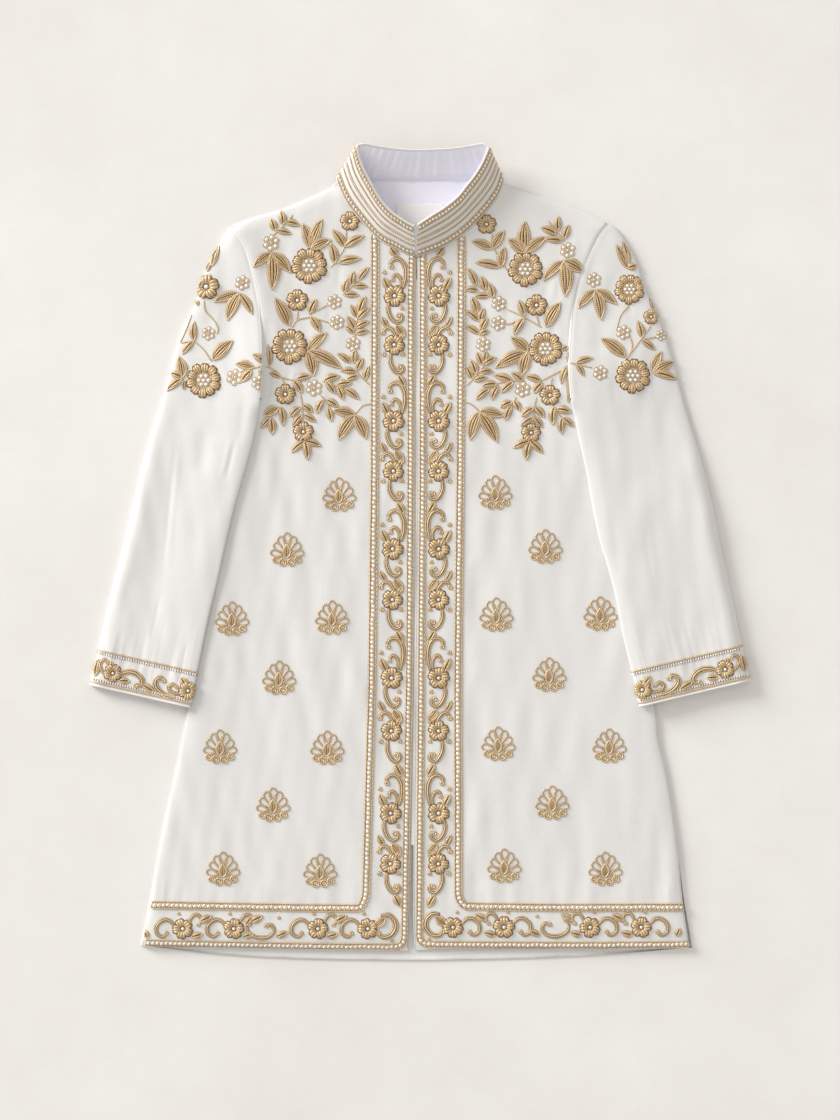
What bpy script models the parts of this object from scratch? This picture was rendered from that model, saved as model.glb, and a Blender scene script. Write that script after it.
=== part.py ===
"""A sherwani coat laid flat, face up: back, fronts, sleeves, stand collar, linings, label and braids.

The coat lies on z = 0. X runs to the viewer's right, Y towards the collar, Z up from the surface.
The origin is on the surface, at the middle of the whole coat. Sizes are in millimetres, and are turned
into metres when a mesh is made.
"""
import math

import bpy
import bmesh
import numpy as np
from mathutils import Vector
from mathutils.bvhtree import BVHTree
from mathutils.geometry import delaunay_2d_cdt

MM = 0.001

# Cloth
BACK_WALL = 1.5
FRONT_WALL = 1.6
SLEEVE_WALL = 1.6
COLLAR_WALL = 1.8
LINING_WALL = 1.0
LABEL_WALL = 1.0
SEAM_GAP = 0.3

# How far the middle of the whole coat lies from the outline tables' zero, along Y
MIDDLE_Y = -0.84

# Heights of the middle of the front's wall above the surface
RIM_HEIGHT = BACK_WALL + 0.45 + FRONT_WALL / 2
FRONT_HEIGHT = BACK_WALL + 3.7 + FRONT_WALL / 2
SIDE_ROLL = 20.0
HEM_ROLL = 26.0
HEM_KEEP = 0.35
CENTRE_DIP = 0.9
CENTRE_DIP_WIDTH = 9.0
ARMHOLE_DIP = 0.8
ARMHOLE_DIP_WIDTH = 7.0

# Sleeves: the hollow between their layers, and how they lie over the body's side
SLEEVE_HOLLOW = 3.7
SLEEVE_ROLL = 16.0
SLEEVE_UNDER_ROLL = 4.0
OVER_BODY_GAP = 0.7
OVER_BODY_REACH = 10.0
OVER_BODY_RAMP = 26.0

# Mesh steps
ARMHOLE_STEPS = 10
SHOULDER_STEPS = 5
BACK_NECK_STEPS = 9

# Braids
BRAID_WIDTH = 9.4
BRAID_LIFT = 1.5
BRAID_LOW = 0.9

# Raised embroidery
MOTIF_LIFT = 0.9
MOTIF_BEVEL = 1.3

# Colours of the materials
IVORY = (0.84, 0.82, 0.79, 1.0)
LAVENDER_WHITE = (0.72, 0.71, 0.82, 1.0)
CREAM = (0.79, 0.74, 0.65, 1.0)
GOLD = (0.60, 0.42, 0.22, 1.0)

LEFT, RIGHT = -1, 1

# Outline tables. Columns: x, y of each point, seen from above.
SIDE_SEAM = {
    LEFT: [(-328.0, -466.0), (-317.4, -407.7), (-309.2, -355.8), (-300.9, -313.3), (-289.1, -261.4),
           (-280.8, -218.9), (-274.9, -187.0), (-240.0, -15.0), (-207.0, 158.0)],
    RIGHT: [(317.5, -466.0), (309.2, -407.7), (304.4, -355.8), (297.4, -303.8), (290.3, -261.4),
            (280.8, -218.9), (277.0, -181.0), (250.0, -15.0), (222.0, 158.0)],
}
ARMHOLE = {
    LEFT: [(-223.0, 384.1), (-214.8, 374.6), (-205.3, 356.9), (-197.1, 327.4), (-191.2, 297.9),
           (-187.6, 268.4), (-186.4, 244.8), (-186.4, 209.4), (-188.8, 179.9)],
    RIGHT: [(220.7, 387.6), (210.0, 374.6), (198.2, 351.0), (187.6, 321.6), (180.5, 289.7),
            (177.0, 251.9), (175.8, 215.3), (178.2, 179.9)],
}
SHOULDER = {
    LEFT: [(-222.6, 385.2), (-200.6, 393.5), (-160.5, 405.3), (-110.9, 426.6), (-104.0, 430.0)],
    RIGHT: [(220.2, 388.6), (178.2, 406.5), (140.4, 419.5), (110.9, 428.9), (104.0, 431.5)],
}
CENTRE_EDGE = {
    LEFT: [(-14.4, -470.2), (-11.8, -410.0), (-6.8, -150.0), (-4.6, 97.0), (-4.3, 348.0)],
    RIGHT: [(-6.0, -469.0), (-7.6, -410.0), (-5.5, -150.0), (-3.5, 97.0), (-3.2, 348.0)],
}
FRONT_HEM_SIDE_Y = {LEFT: -464.3, RIGHT: -466.7}
NECK_SEAM = {
    LEFT: [(-5.7, 349.9), (-14.2, 352.2), (-28.3, 359.3), (-47.2, 368.8), (-63.7, 385.3), (-79.1, 403.0),
           (-88.5, 417.1), (-95.6, 433.6), (-97.9, 440.7)],
    RIGHT: [(-3.0, 349.9), (18.9, 356.9), (35.4, 365.2), (51.9, 377.0), (69.6, 393.5), (83.8, 410.0),
            (93.2, 424.2), (97.9, 439.5)],
}
COLLAR_TOP = {
    LEFT: [(-7.0, 384.1), (-17.7, 390.0), (-34.2, 401.8), (-47.2, 417.1), (-57.8, 436.0), (-66.1, 452.5),
           (-70.8, 465.5), (-73.2, 478.5)],
    RIGHT: [(-2.0, 386.5), (14.2, 397.2), (30.7, 407.7), (44.8, 419.5), (53.1, 430.1), (64.9, 445.4),
            (73.2, 459.6), (80.2, 476.0)],
}
COLLAR_BACK_TOP = [(-73.2, 478.5), (-64.9, 480.4), (-47.2, 477.3), (-23.6, 474.4), (0.0, 473.4),
                   (35.4, 474.9), (59.0, 478.0), (73.5, 480.4), (80.2, 476.0)]
COLLAR_BACK_SEAM = [(-97.9, 440.7), (-60.0, 440.4), (0.0, 441.2), (60.0, 441.8), (97.9, 439.5)]
BACK_HEM = [(-325.5, -468.0), (-259.6, -472.6), (-188.8, -477.3), (-106.2, -480.0), (0.0, -481.2),
            (94.4, -479.7), (165.2, -477.3), (236.0, -473.8), (320.5, -469.0)]
BACK_NECK_Y = 438.4
BACK_PEEK = {LEFT: 1.0, RIGHT: 3.6}

SLEEVE_OUTER = {
    LEFT: [(-223.4, 384.5), (-236.0, 362.8), (-252.5, 332.2), (-264.3, 293.2), (-283.2, 251.9),
           (-299.7, 191.8), (-324.5, 111.5), (-336.3, 61.9), (-350.5, 2.9), (-365.8, -56.0),
           (-378.8, -113.9), (-389.0, -157.0)],
    RIGHT: [(221.2, 388.0), (232.0, 381.0), (243.1, 366.4), (256.1, 340.4), (264.3, 313.3),
            (284.4, 267.3), (293.8, 240.1), (312.7, 170.5), (330.4, 112.7), (343.4, 61.9),
            (355.2, 2.9), (368.2, -54.9), (380.0, -111.5), (389.0, -151.6)],
}
SLEEVE_INNER = {
    LEFT: [(-189.3, 179.6), (-192.8, 154.0), (-200.6, 120.9), (-217.1, 61.9), (-228.9, 14.8),
           (-239.5, -33.6), (-250.2, -78.5), (-263.1, -141.0), (-271.4, -183.5)],
    RIGHT: [(178.7, 179.6), (185.3, 145.7), (195.9, 97.3), (210.0, 23.0), (220.7, -13.6),
            (231.3, -54.9), (240.7, -103.2), (250.2, -141.0), (259.6, -182.3)],
}
# Places (x, y) that the upright runs of a front's two braids go through, edge braid first
BRAID_PLACES = {
    LEFT: [[(-17.4, -470.0), (-17.1, -410.0), (-12.1, -150.0), (-10.0, 97.0), (-9.7, 348.0)],
           [(-64.2, -430.0), (-63.7, -400.0), (-56.6, -150.0), (-54.0, 97.0), (-53.5, 366.0)]],
    RIGHT: [[(-0.6, -470.0), (-0.8, -410.0), (1.2, -150.0), (3.2, 97.0), (3.8, 348.0)],
            [(46.4, -430.0), (46.0, -400.0), (45.0, -150.0), (47.5, 97.0), (49.0, 367.0)]],
}
# Rows of a front's hem, with a braid over the second and third and one over the last two.
# Columns: y at the centre edge, y at the side seam.
HEM_ROWS = {
    LEFT: [(-470.2, -464.3), (-469.4, -463.5), (-460.0, -454.1), (-441.0, -437.0), (-424.2, -420.7),
           (-414.8, -411.3)],
    RIGHT: [(-469.0, -466.7), (-467.6, -465.4), (-458.2, -456.0), (-441.0, -439.5), (-423.2, -422.6),
            (-413.8, -413.2)],
}
EDGE_HEM_ROWS = (1, 2)
INNER_HEM_ROWS = (4, 5)

# Where rings of the sleeve sit, as shares of its length and as distances from the cuff's edge
SLEEVE_RINGS = (0.0, 0.03, 0.07, 0.12, 0.18, 0.25, 0.32, 0.39, 0.46, 0.53, 0.60, 0.67, 0.74, 0.80, 0.85)
CUFF_RINGS = (46.0, 43.5, 35.0, 24.0, 12.0, 3.5, 0.0)
CUFF_TOP_BRAID = (43.5, 35.0)
CUFF_HEM_BRAID = (12.0, 3.5)

# Largest folds. Columns: start x, start y, end x, end y, half width, height.
FRONT_FOLDS = {
    LEFT: [(-232.0, -40.0, -262.0, -330.0, 20.0, 0.55), (-176.0, 60.0, -196.0, -300.0, 26.0, -0.45),
           (-110.0, 90.0, -120.0, -360.0, 24.0, 0.40), (-150.0, -300.0, -160.0, -452.0, 14.0, 0.40)],
    RIGHT: [(226.0, -20.0, 262.0, -320.0, 20.0, 0.55), (168.0, 70.0, 186.0, -310.0, 26.0, -0.45),
            (100.0, 80.0, 108.0, -350.0, 24.0, 0.40), (204.0, -310.0, 212.0, -452.0, 14.0, 0.40)],
}
SLEEVE_FOLDS = {
    LEFT: [(-292.0, 130.0, -301.0, 6.0, 13.0, -1.1), (-301.0, 6.0, -322.0, -95.0, 13.0, -0.9),
           (-222.0, 170.0, -232.0, 118.0, 9.0, 0.7), (-318.0, 60.0, -340.0, -40.0, 14.0, 0.5)],
    RIGHT: [(257.0, 70.0, 264.0, 8.0, 13.0, -1.1), (264.0, 8.0, 274.0, -50.0, 13.0, -0.9),
            (214.0, 168.0, 222.0, 112.0, 9.0, 0.7), (300.0, 60.0, 322.0, -40.0, 14.0, 0.5)],
}

# Raised motifs. Columns: x, y of the middle.
BUTIS = {
    LEFT: [(-96.0, 66.0), (-157.0, 2.0), (-104.0, -79.0), (-166.0, -149.0), (-236.0, -231.0),
           (-110.0, -232.0), (-173.0, -299.0), (-232.0, -375.0), (-118.0, -377.0)],
    RIGHT: [(88.0, 69.0), (147.0, 5.0), (90.0, -75.0), (212.0, -74.0), (152.0, -146.0), (92.0, -227.0),
            (223.0, -229.0), (156.0, -297.0), (99.0, -371.0), (218.0, -375.0)],
}
BUTI_WIDTH = 39.0
BUTI_HEIGHT = 42.0
# Columns: x, y, radius, petals.
FLOWERS = {
    LEFT: [(-130.4, 338.1, 21.0, 12), (-153.4, 242.5, 21.0, 12), (-82.6, 390.0, 11.0, 6),
           (-144.0, 298.0, 11.0, 5), (-159.9, 187.0, 10.5, 5)],
    RIGHT: [(121.0, 338.0, 21.0, 12), (147.0, 244.0, 21.0, 12), (76.0, 392.0, 11.0, 6),
            (138.0, 300.0, 11.0, 5), (152.0, 187.0, 10.5, 5)],
}
# Columns: root x, root y, tip x, tip y, width.
LEAVES = {
    LEFT: [(-128.6, 358.7, -137.5, 386.4, 12.0), (-127.4, 358.7, -116.8, 391.7, 11.0),
           (-124.5, 358.0, -106.2, 372.0, 12.0), (-174.6, 353.0, -195.9, 336.9, 14.0),
           (-174.6, 353.0, -174.6, 310.9, 14.0), (-174.6, 353.0, -153.4, 331.0, 14.0),
           (-152.0, 275.0, -172.0, 300.0, 15.0), (-133.3, 236.6, -110.9, 257.8, 13.0),
           (-133.3, 236.6, -93.2, 217.7, 14.0), (-133.3, 236.6, -125.1, 208.3, 13.0),
           (-76.7, 162.2, -97.9, 165.8, 12.0), (-76.7, 162.2, -95.6, 132.8, 14.0),
           (-76.7, 162.2, -63.7, 135.1, 13.0), (-138.0, 118.0, -133.0, 92.0, 12.0)],
    RIGHT: [(120.0, 359.0, 128.0, 388.0, 12.0), (118.5, 359.0, 108.0, 392.0, 11.0),
            (116.0, 358.0, 98.0, 373.0, 12.0), (166.0, 355.0, 187.0, 339.0, 14.0),
            (166.0, 355.0, 168.0, 313.0, 14.0), (166.0, 355.0, 146.0, 333.0, 14.0),
            (145.0, 277.0, 163.0, 303.0, 15.0), (127.0, 238.0, 105.0, 259.0, 13.0),
            (127.0, 238.0, 88.0, 220.0, 14.0), (127.0, 238.0, 119.0, 209.0, 13.0),
            (71.0, 162.0, 91.0, 166.0, 12.0), (71.0, 162.0, 89.0, 133.0, 14.0),
            (71.0, 162.0, 58.0, 136.0, 13.0), (133.0, 118.0, 128.0, 92.0, 12.0)],
}
SLEEVE_FLOWERS = {
    LEFT: [(-255.5, 203.6, 20.0, 12)],
    RIGHT: [(251.3, 208.3, 20.0, 12)],
}
SLEEVE_LEAVES = {
    LEFT: [(-213.6, 305.0, -243.1, 295.6, 13.0), (-213.6, 305.0, -227.2, 274.4, 13.0),
           (-222.0, 250.0, -243.0, 224.0, 13.0)],
    RIGHT: [(208.0, 310.0, 186.5, 288.5, 13.0), (208.0, 310.0, 212.4, 274.4, 13.0),
            (222.0, 252.0, 238.0, 226.0, 13.0)],
}

# Rows of the collar, from the seam to the top edge. Columns: share of its height, how far it is raised.
COLLAR_ROWS = [(0.0, 0.0), (0.03, 0.9), (0.15, 0.9), (0.18, 0.0), (0.33, 0.0), (0.36, 0.6), (0.41, 0.0),
               (0.55, 0.0), (0.59, 0.6), (0.63, 0.0), (0.78, 0.0), (0.81, 0.9), (0.96, 0.9), (1.0, 0.0)]
# Heights of the collar's seam and top edge. Columns: centre front, side, middle of the back.
COLLAR_SEAM_HEIGHTS = (6.3, 5.6, 3.6)
COLLAR_TOP_HEIGHTS = (27.0, 30.0, 25.0)


def smooth_curve(points, steps=16):
    """A rounded line through the points, as many short straight ones."""
    inner = np.array(points, float)
    pts = np.vstack([2 * inner[0] - inner[1], inner, 2 * inner[-1] - inner[-2]])
    line = []
    for a, b, c, d in zip(pts[:-3], pts[1:-2], pts[2:-1], pts[3:]):
        for t in np.arange(steps) / steps:
            line.append(0.5 * (2 * b + (c - a) * t + (2 * a - 5 * b + 4 * c - d) * t ** 2
                               + (3 * b - a - 3 * c + d) * t ** 3))
    line.append(inner[-1])
    return np.array(line)


def along(line, shares):
    """Points at the given shares of a line's length."""
    lengths = np.concatenate([[0], np.cumsum(np.linalg.norm(np.diff(line, axis=0), axis=1))])
    wanted = np.array(shares) * lengths[-1]
    return np.stack([np.interp(wanted, lengths, line[:, k]) for k in range(line.shape[1])], axis=1)


def x_at(line, y):
    """x where a line that rises in y crosses the given y."""
    order = np.argsort(line[:, 1])
    return np.interp(y, line[order, 1], line[order, 0])


def y_at(line, x):
    order = np.argsort(line[:, 0])
    return np.interp(x, line[order, 0], line[order, 1])


def distance_to(points, line):
    """Distance in plan from each point to a line."""
    p = np.asarray(points, float)[:, None, :2]
    a = line[None, :-1, :]
    b = line[None, 1:, :]
    run = b - a
    t = np.clip(((p - a) * run).sum(2) / np.maximum((run ** 2).sum(2), 1e-9), 0, 1)
    return np.linalg.norm(p - (a + run * t[..., None]), axis=2).min(axis=1)


def step_up(t):
    t = np.clip(t, 0, 1)
    return t * t * (3 - 2 * t)


def rolled(t):
    """Rises from 0 to 1 like the quarter of an ellipse, as a folded edge does."""
    return np.sqrt(np.maximum(0, 1 - (1 - np.clip(t, 0, 1)) ** 2))


def fold_height(points, folds):
    total = np.zeros(len(points))
    for x0, y0, x1, y1, half_width, height in folds:
        line = along(np.array([(x0, y0), (x1, y1)]), np.linspace(0, 1, 7))
        start_end = np.minimum(np.linalg.norm(points[:, :2] - line[0], axis=1),
                               np.linalg.norm(points[:, :2] - line[-1], axis=1))
        fade = step_up(start_end / (2.5 * half_width))
        total += height * fade * np.exp(-(distance_to(points, line) / half_width) ** 2)
    return total


CURVES = {
    side: {
        "side": smooth_curve(SIDE_SEAM[side]),
        "armhole": smooth_curve(ARMHOLE[side]),
        "shoulder": smooth_curve(SHOULDER[side]),
        "centre": smooth_curve(CENTRE_EDGE[side]),
        "neck": smooth_curve(NECK_SEAM[side]),
        "collar_top": smooth_curve(COLLAR_TOP[side]),
        "outer": smooth_curve(SLEEVE_OUTER[side]),
        "inner": smooth_curve(SLEEVE_INNER[side]),
    } for side in (LEFT, RIGHT)
}
ACROSS = (1 - np.cos(np.pi * np.arange(ARMHOLE_STEPS + 1) / ARMHOLE_STEPS)) / 2


def front_middle(side, points):
    """Height of the middle of a front's wall at each point in plan."""
    lines = CURVES[side]
    rim = np.minimum(distance_to(points, lines["side"]), distance_to(points, lines["shoulder"]))
    hem = np.maximum(0, points[:, 1] - FRONT_HEM_SIDE_Y[side])
    centre = distance_to(points, lines["centre"])
    armhole = distance_to(points, lines["armhole"])
    rise = rolled(rim / SIDE_ROLL) * (HEM_KEEP + (1 - HEM_KEEP) * rolled(hem / HEM_ROLL))
    lift = FRONT_HEIGHT - RIM_HEIGHT + fold_height(points, FRONT_FOLDS[side]) - 0.5
    lift = lift - CENTRE_DIP * (1 - step_up(centre / CENTRE_DIP_WIDTH))
    lift = lift - ARMHOLE_DIP * (1 - step_up(armhole / ARMHOLE_DIP_WIDTH))
    return RIM_HEIGHT + lift * rise


def moved_aside(line, gap, side, upwards=False):
    """The line moved sideways in plan by the gap, towards the body's middle or its foot."""
    run = np.gradient(line, axis=0)
    run /= np.linalg.norm(run, axis=1)[:, None]
    normal = np.stack([run[:, 1], -run[:, 0]], axis=1)
    wanted = np.array([0.0, -1.0]) if upwards else np.array([-side, 0.0])
    facing = np.sign((normal * wanted).sum(axis=1))
    return line + normal * (gap * facing)[:, None]


def side_points(side, rows):
    """Points down one side of the body, hem to shoulder. rows are the heights below the armhole."""
    lines = CURVES[side]
    seam = np.array([(x_at(lines["side"], y), y) for y in rows])
    hole = moved_aside(along(lines["armhole"], ACROSS), SEAM_GAP * 1.5, side)[::-1]
    under = np.array([(seam[-1] * 0.45 + hole[0] * 0.55)])
    shoulder = along(lines["shoulder"], np.linspace(0, 1, SHOULDER_STEPS + 1))[1:]
    return np.vstack([seam, under, hole, shoulder])


FRONT_ROWS = np.linspace(-380.0, 158.0, 16)
BACK_ROWS = np.concatenate([[-466.0, -440.0], np.linspace(-400.0, 158.0, 9)])
FRONT_NECK_ROWS = SHOULDER_STEPS + 4
INNER_BRAID_NECK_ROWS = 3
# Columns of a front's grid that the braids lie on
EDGE_COLUMNS = (1, 2)
INNER_COLUMNS = (4, 5)


def neck_points(side):
    return along(CURVES[side]["neck"], np.linspace(0, 1, FRONT_NECK_ROWS + 1))


def near_columns(side, start):
    """Distances from a row's start to the columns near the centre edge, where the braids lie."""
    edge_places, inner_places = BRAID_PLACES[side]
    inner_near = side * x_at(smooth_curve(inner_places), start[1]) - BRAID_WIDTH / 2 - side * start[0]
    edge_near = side * x_at(smooth_curve(edge_places), start[1]) - BRAID_WIDTH / 2 - side * start[0]
    if edge_near > 0:
        edge_far = edge_near + BRAID_WIDTH
        return np.array([0.0, edge_near, edge_far, (edge_far + inner_near) / 2, inner_near,
                         inner_near + BRAID_WIDTH])
    if inner_near > 1.0:
        return np.array([0.0, 0.15 * inner_near, 0.45 * inner_near, 0.7 * inner_near, inner_near,
                         inner_near + BRAID_WIDTH])
    return None


def front_grid(side):
    """Rows of points of a front's middle surface, from the hem up, centre edge first."""
    hem = np.array(HEM_ROWS[side])
    outer = side_points(side, np.concatenate([hem[:, 1], FRONT_ROWS]))
    neck = moved_aside(neck_points(side), 1.25, side, upwards=True)
    neck[0] = (x_at(CURVES[side]["centre"], 348.0), neck[0, 1])
    straight = len(outer) - FRONT_NECK_ROWS
    heights = np.concatenate([hem[:, 0], outer[len(hem):straight, 1]])
    inner = np.array([(x_at(CURVES[side]["centre"], y), y) for y in heights])
    inner = np.vstack([inner, neck[:FRONT_NECK_ROWS]])
    inner[-1] = inner[-1] * 0.7 + neck[-1] * 0.3
    far = np.array([22.0, 12.0, 5.0, 1.5, 0.0])
    grid = []
    for start, end in zip(inner, outer):
        width = np.linalg.norm(end - start)
        near = near_columns(side, start)
        squeeze = min(1.0, width / 130.0)
        if near is None:
            near = np.array([0.0, 8.0, 18.0, 30.0, 42.0, 54.0]) * squeeze
        middle = np.linspace(near[-1], width - far[0] * squeeze, 6)[1:-1]
        places = np.concatenate([near, middle, width - far * squeeze])
        grid.append(start + (end - start) * (places / width)[:, None])
    grid = np.array(grid)
    heights = front_middle(side, grid.reshape(-1, 2)).reshape(grid.shape[:2])
    return np.dstack([grid, heights])


def back_grid():
    """Rows of points of the back's middle surface, from the hem up, left side first."""
    left = side_points(LEFT, BACK_ROWS)
    right = side_points(RIGHT, BACK_ROWS)
    hem = smooth_curve(BACK_HEM)
    for points, side in ((left, LEFT), (right, RIGHT)):
        peek = BACK_PEEK[side] * (1 - step_up((points[:, 1] + 466.0) / 150.0))
        points[:, 0] += side * peek
    shares = (1 - np.cos(np.pi * np.linspace(0, 1, 15))) / 2
    rows = []
    for row, (a, b) in enumerate(zip(left, right)):
        line = a + (b - a) * shares[:, None]
        if row == 0:
            line[:, 1] = y_at(hem, line[:, 0])
        rows.append(line)
    top = rows[-1].copy()
    top[:, 0] *= 96.0 / np.abs(top[0, 0])
    top[:, 1] = BACK_NECK_Y
    rows.append(top)
    plan = np.array(rows)
    return np.dstack([plan, np.full(plan.shape[:2], BACK_WALL / 2)])


def over_body(side, points):
    """Lowest height of a sleeve's underside: on the surface, or lying over the body's side."""
    lines = CURVES[side]
    edge = x_at(lines["side"], np.minimum(points[:, 1], 158.0))
    beyond = side * (points[:, 0] - edge)
    above = np.maximum(0, points[:, 1] - ARMHOLE[side][-1][1])
    inward = np.clip(OVER_BODY_REACH - beyond, 0, None)
    shape = rolled(inward / SIDE_ROLL)
    top = RIM_HEIGHT + (FRONT_HEIGHT - RIM_HEIGHT) * shape + FRONT_WALL / 2 + OVER_BODY_GAP
    away = np.hypot(np.maximum(0, beyond - OVER_BODY_REACH), above)
    return top * (1 - step_up(away / OVER_BODY_RAMP))


def sleeve_axis(side):
    cuff = CURVES[side]["outer"][-1] - CURVES[side]["inner"][-1]
    across = -cuff / np.linalg.norm(cuff)
    down = np.array([across[1], -across[0]]) * (1 if side == LEFT else -1)
    return down * (1 if down[1] < 0 else -1), across


def sleeve_heights(side, points):
    """Heights of the middle of a sleeve's lower and upper layers at each point in plan."""
    lines = CURVES[side]
    down, across = sleeve_axis(side)
    outer_a = lines["outer"] @ down
    inner_a = lines["inner"] @ down
    a = points[:, :2] @ down
    b = points[:, :2] @ across
    from_outer = b - np.interp(a, outer_a, lines["outer"] @ across)
    from_inner = np.interp(a, inner_a, lines["inner"] @ across) - b
    folded = step_up((a - inner_a[0]) / 24.0)
    top_roll = rolled(from_outer / SLEEVE_ROLL) * (1 - folded * (1 - rolled(from_inner / SLEEVE_ROLL)))
    low_roll = rolled(from_outer / SLEEVE_UNDER_ROLL)
    low_roll = low_roll * (1 - folded * (1 - rolled(from_inner / SLEEVE_UNDER_ROLL)))
    low = over_body(side, points) + SLEEVE_WALL / 2
    apart = SLEEVE_WALL + SLEEVE_HOLLOW - 1.2
    edge = low + apart * 0.34
    armhole = distance_to(points, lines["armhole"])
    upper = low + apart + fold_height(points, SLEEVE_FOLDS[side]) * top_roll
    upper = upper - ARMHOLE_DIP * (1 - step_up(armhole / ARMHOLE_DIP_WIDTH))
    return edge + (low - edge) * low_roll, edge + (upper - edge) * top_roll, edge


def sleeve_shares(side):
    length = np.linalg.norm(np.diff(CURVES[side]["outer"], axis=0), axis=1).sum()
    return np.concatenate([SLEEVE_RINGS, 1 - np.array(CUFF_RINGS) / length])


def sleeve_grid(side):
    """Closed rings of points round a sleeve, armhole to cuff: over the top, then back underneath."""
    lines = CURVES[side]
    shares = sleeve_shares(side)
    outer = along(lines["outer"], shares)
    inner = along(lines["inner"], shares)
    hole = moved_aside(along(lines["armhole"], ACROSS), -(SEAM_GAP * 1.5), side)
    bulge = hole - (hole[0] + (hole[-1] - hole[0]) * ACROSS[:, None])
    outer[0] = hole[0]
    inner[0] = hole[-1]
    rings = []
    for share, a, b in zip(shares, outer, inner):
        line = a + (b - a) * ACROSS[:, None] + bulge * (1 - step_up(share / 0.4))
        low, high, edge = sleeve_heights(side, line)
        high[0], high[-1] = edge[0], edge[-1]
        upper = np.column_stack([line, high])
        lower = np.column_stack([line, low])[-2:0:-1]
        rings.append(np.vstack([upper, lower]))
    return np.array(rings)


def grid_normals(grid, closed=False):
    """Normals of a grid of points, up or outwards."""
    if closed:
        wide = np.concatenate([grid[:, -1:], grid, grid[:, :1]], axis=1)
        across = wide[:, 2:] - wide[:, :-2]
    else:
        across = np.gradient(grid, axis=1)
    lengthwise = np.gradient(grid, axis=0)
    normal = np.cross(across, lengthwise)
    return normal / np.maximum(np.linalg.norm(normal, axis=2), 1e-9)[..., None]


def quads(rows, columns, start=0, closed=False):
    faces = []
    for i in range(rows - 1):
        for j in range(columns if closed else columns - 1):
            k = (j + 1) % columns
            a, b = start + i * columns + j, start + i * columns + k
            faces.append((a, b, b + columns, a + columns))
    return faces


def outline_of(rows, columns):
    """Numbers of a grid's border points, in order round it."""
    first = list(range(columns))
    right = [i * columns + columns - 1 for i in range(1, rows)]
    last = [(rows - 1) * columns + j for j in range(columns - 2, -1, -1)]
    left = [i * columns for i in range(rows - 2, 0, -1)]
    return first + right + last + left


def make_object(name, points, faces, colour, roughness, metallic=0.0):
    """An object of one closed solid from points in millimetres."""
    mesh = bpy.data.meshes.new(name)
    mesh.from_pydata([(MM * x, MM * (y - MIDDLE_Y), MM * z) for x, y, z in points], [], faces)
    work = bmesh.new()
    work.from_mesh(mesh)
    bmesh.ops.remove_doubles(work, verts=work.verts, dist=0.02 * MM)
    bmesh.ops.recalc_face_normals(work, faces=work.faces)
    work.to_mesh(mesh)
    work.free()
    mesh.shade_smooth()
    mesh.set_sharp_from_angle(angle=math.radians(40))
    material = bpy.data.materials.get(name + "_material") or bpy.data.materials.new(name + "_material")
    material.use_nodes = True
    shader = material.node_tree.nodes["Principled BSDF"]
    shader.inputs["Base Color"].default_value = colour
    shader.inputs["Roughness"].default_value = roughness
    shader.inputs["Metallic"].default_value = metallic
    mesh.materials.append(material)
    item = bpy.data.objects.new(name, mesh)
    bpy.context.scene.collection.objects.link(item)
    return item


def surface_tree(grid):
    """A tree for finding the height of a grid of points from above."""
    rows, columns = grid.shape[:2]
    return BVHTree.FromPolygons([Vector(p) for p in grid.reshape(-1, 3)], quads(rows, columns))


def height_at(tree, x, y):
    hit = tree.ray_cast(Vector((x, y, 200.0)), Vector((0, 0, -1)))
    return hit[0].z if hit[0] is not None else tree.find_nearest(Vector((x, y, FRONT_HEIGHT)))[0].z


def scalloped(x, y, radius, petals):
    """A round flower's outline, one arc a petal."""
    count = petals * 2
    angles = np.arange(count) * 2 * np.pi / count
    reach = radius * (1 - 0.10 * (np.arange(count) % 2 == 0))
    return np.column_stack([x + reach * np.cos(angles), y + reach * np.sin(angles)])


def leaf_outline(x0, y0, x1, y1, width):
    """A pointed leaf from its root to its tip."""
    root, tip = np.array([x0, y0]), np.array([x1, y1])
    run = tip - root
    side = np.array([-run[1], run[0]]) / np.linalg.norm(run)
    shares = np.array([0.16, 0.45, 0.8])
    swell = 0.5 * width * np.sin(np.pi * shares) ** 0.8
    right = root + run * shares[:, None] + side * swell[:, None]
    left = (root + run * shares[:, None] - side * swell[:, None])[::-1]
    return np.vstack([root, right, tip, left])[::-1]


def buti_outline(x, y):
    """The fan of seven petals over a narrow foot, as one outline."""
    points = [(x - 0.30 * BUTI_WIDTH, y - 0.5 * BUTI_HEIGHT), (x + 0.30 * BUTI_WIDTH, y - 0.5 * BUTI_HEIGHT),
              (x + 0.20 * BUTI_WIDTH, y - 0.26 * BUTI_HEIGHT)]
    petals = 7
    for petal in range(petals):
        for share, reach in ((0.02, 0.84), (0.5, 1.0)):
            angle = math.radians(-8 + 196 * (petal + share) / petals)
            points.append((x + 0.5 * BUTI_WIDTH * reach * math.cos(angle),
                           y - 0.10 * BUTI_HEIGHT + 0.6 * BUTI_HEIGHT * reach * math.sin(angle)))
    points.append((x - 0.20 * BUTI_WIDTH, y - 0.26 * BUTI_HEIGHT))
    return np.array(points)


def shrunk(ring, by):
    middle = ring.mean(axis=0)
    reach = np.linalg.norm(ring - middle, axis=1)
    return middle + (ring - middle) * (np.maximum(0.35, 1 - by / np.maximum(reach, 1e-6)))[:, None]


def inside(ring, points):
    """True for each point that lies inside a ring."""
    x, y = points[:, 0], points[:, 1]
    result = np.zeros(len(points), bool)
    for (x0, y0), (x1, y1) in zip(ring, np.roll(ring, -1, axis=0)):
        if y0 == y1:
            continue
        crosses = ((y0 > y) != (y1 > y)) & (x < (x1 - x0) * (y - y0) / (y1 - y0) + x0)
        result ^= crosses
    return result


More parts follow.
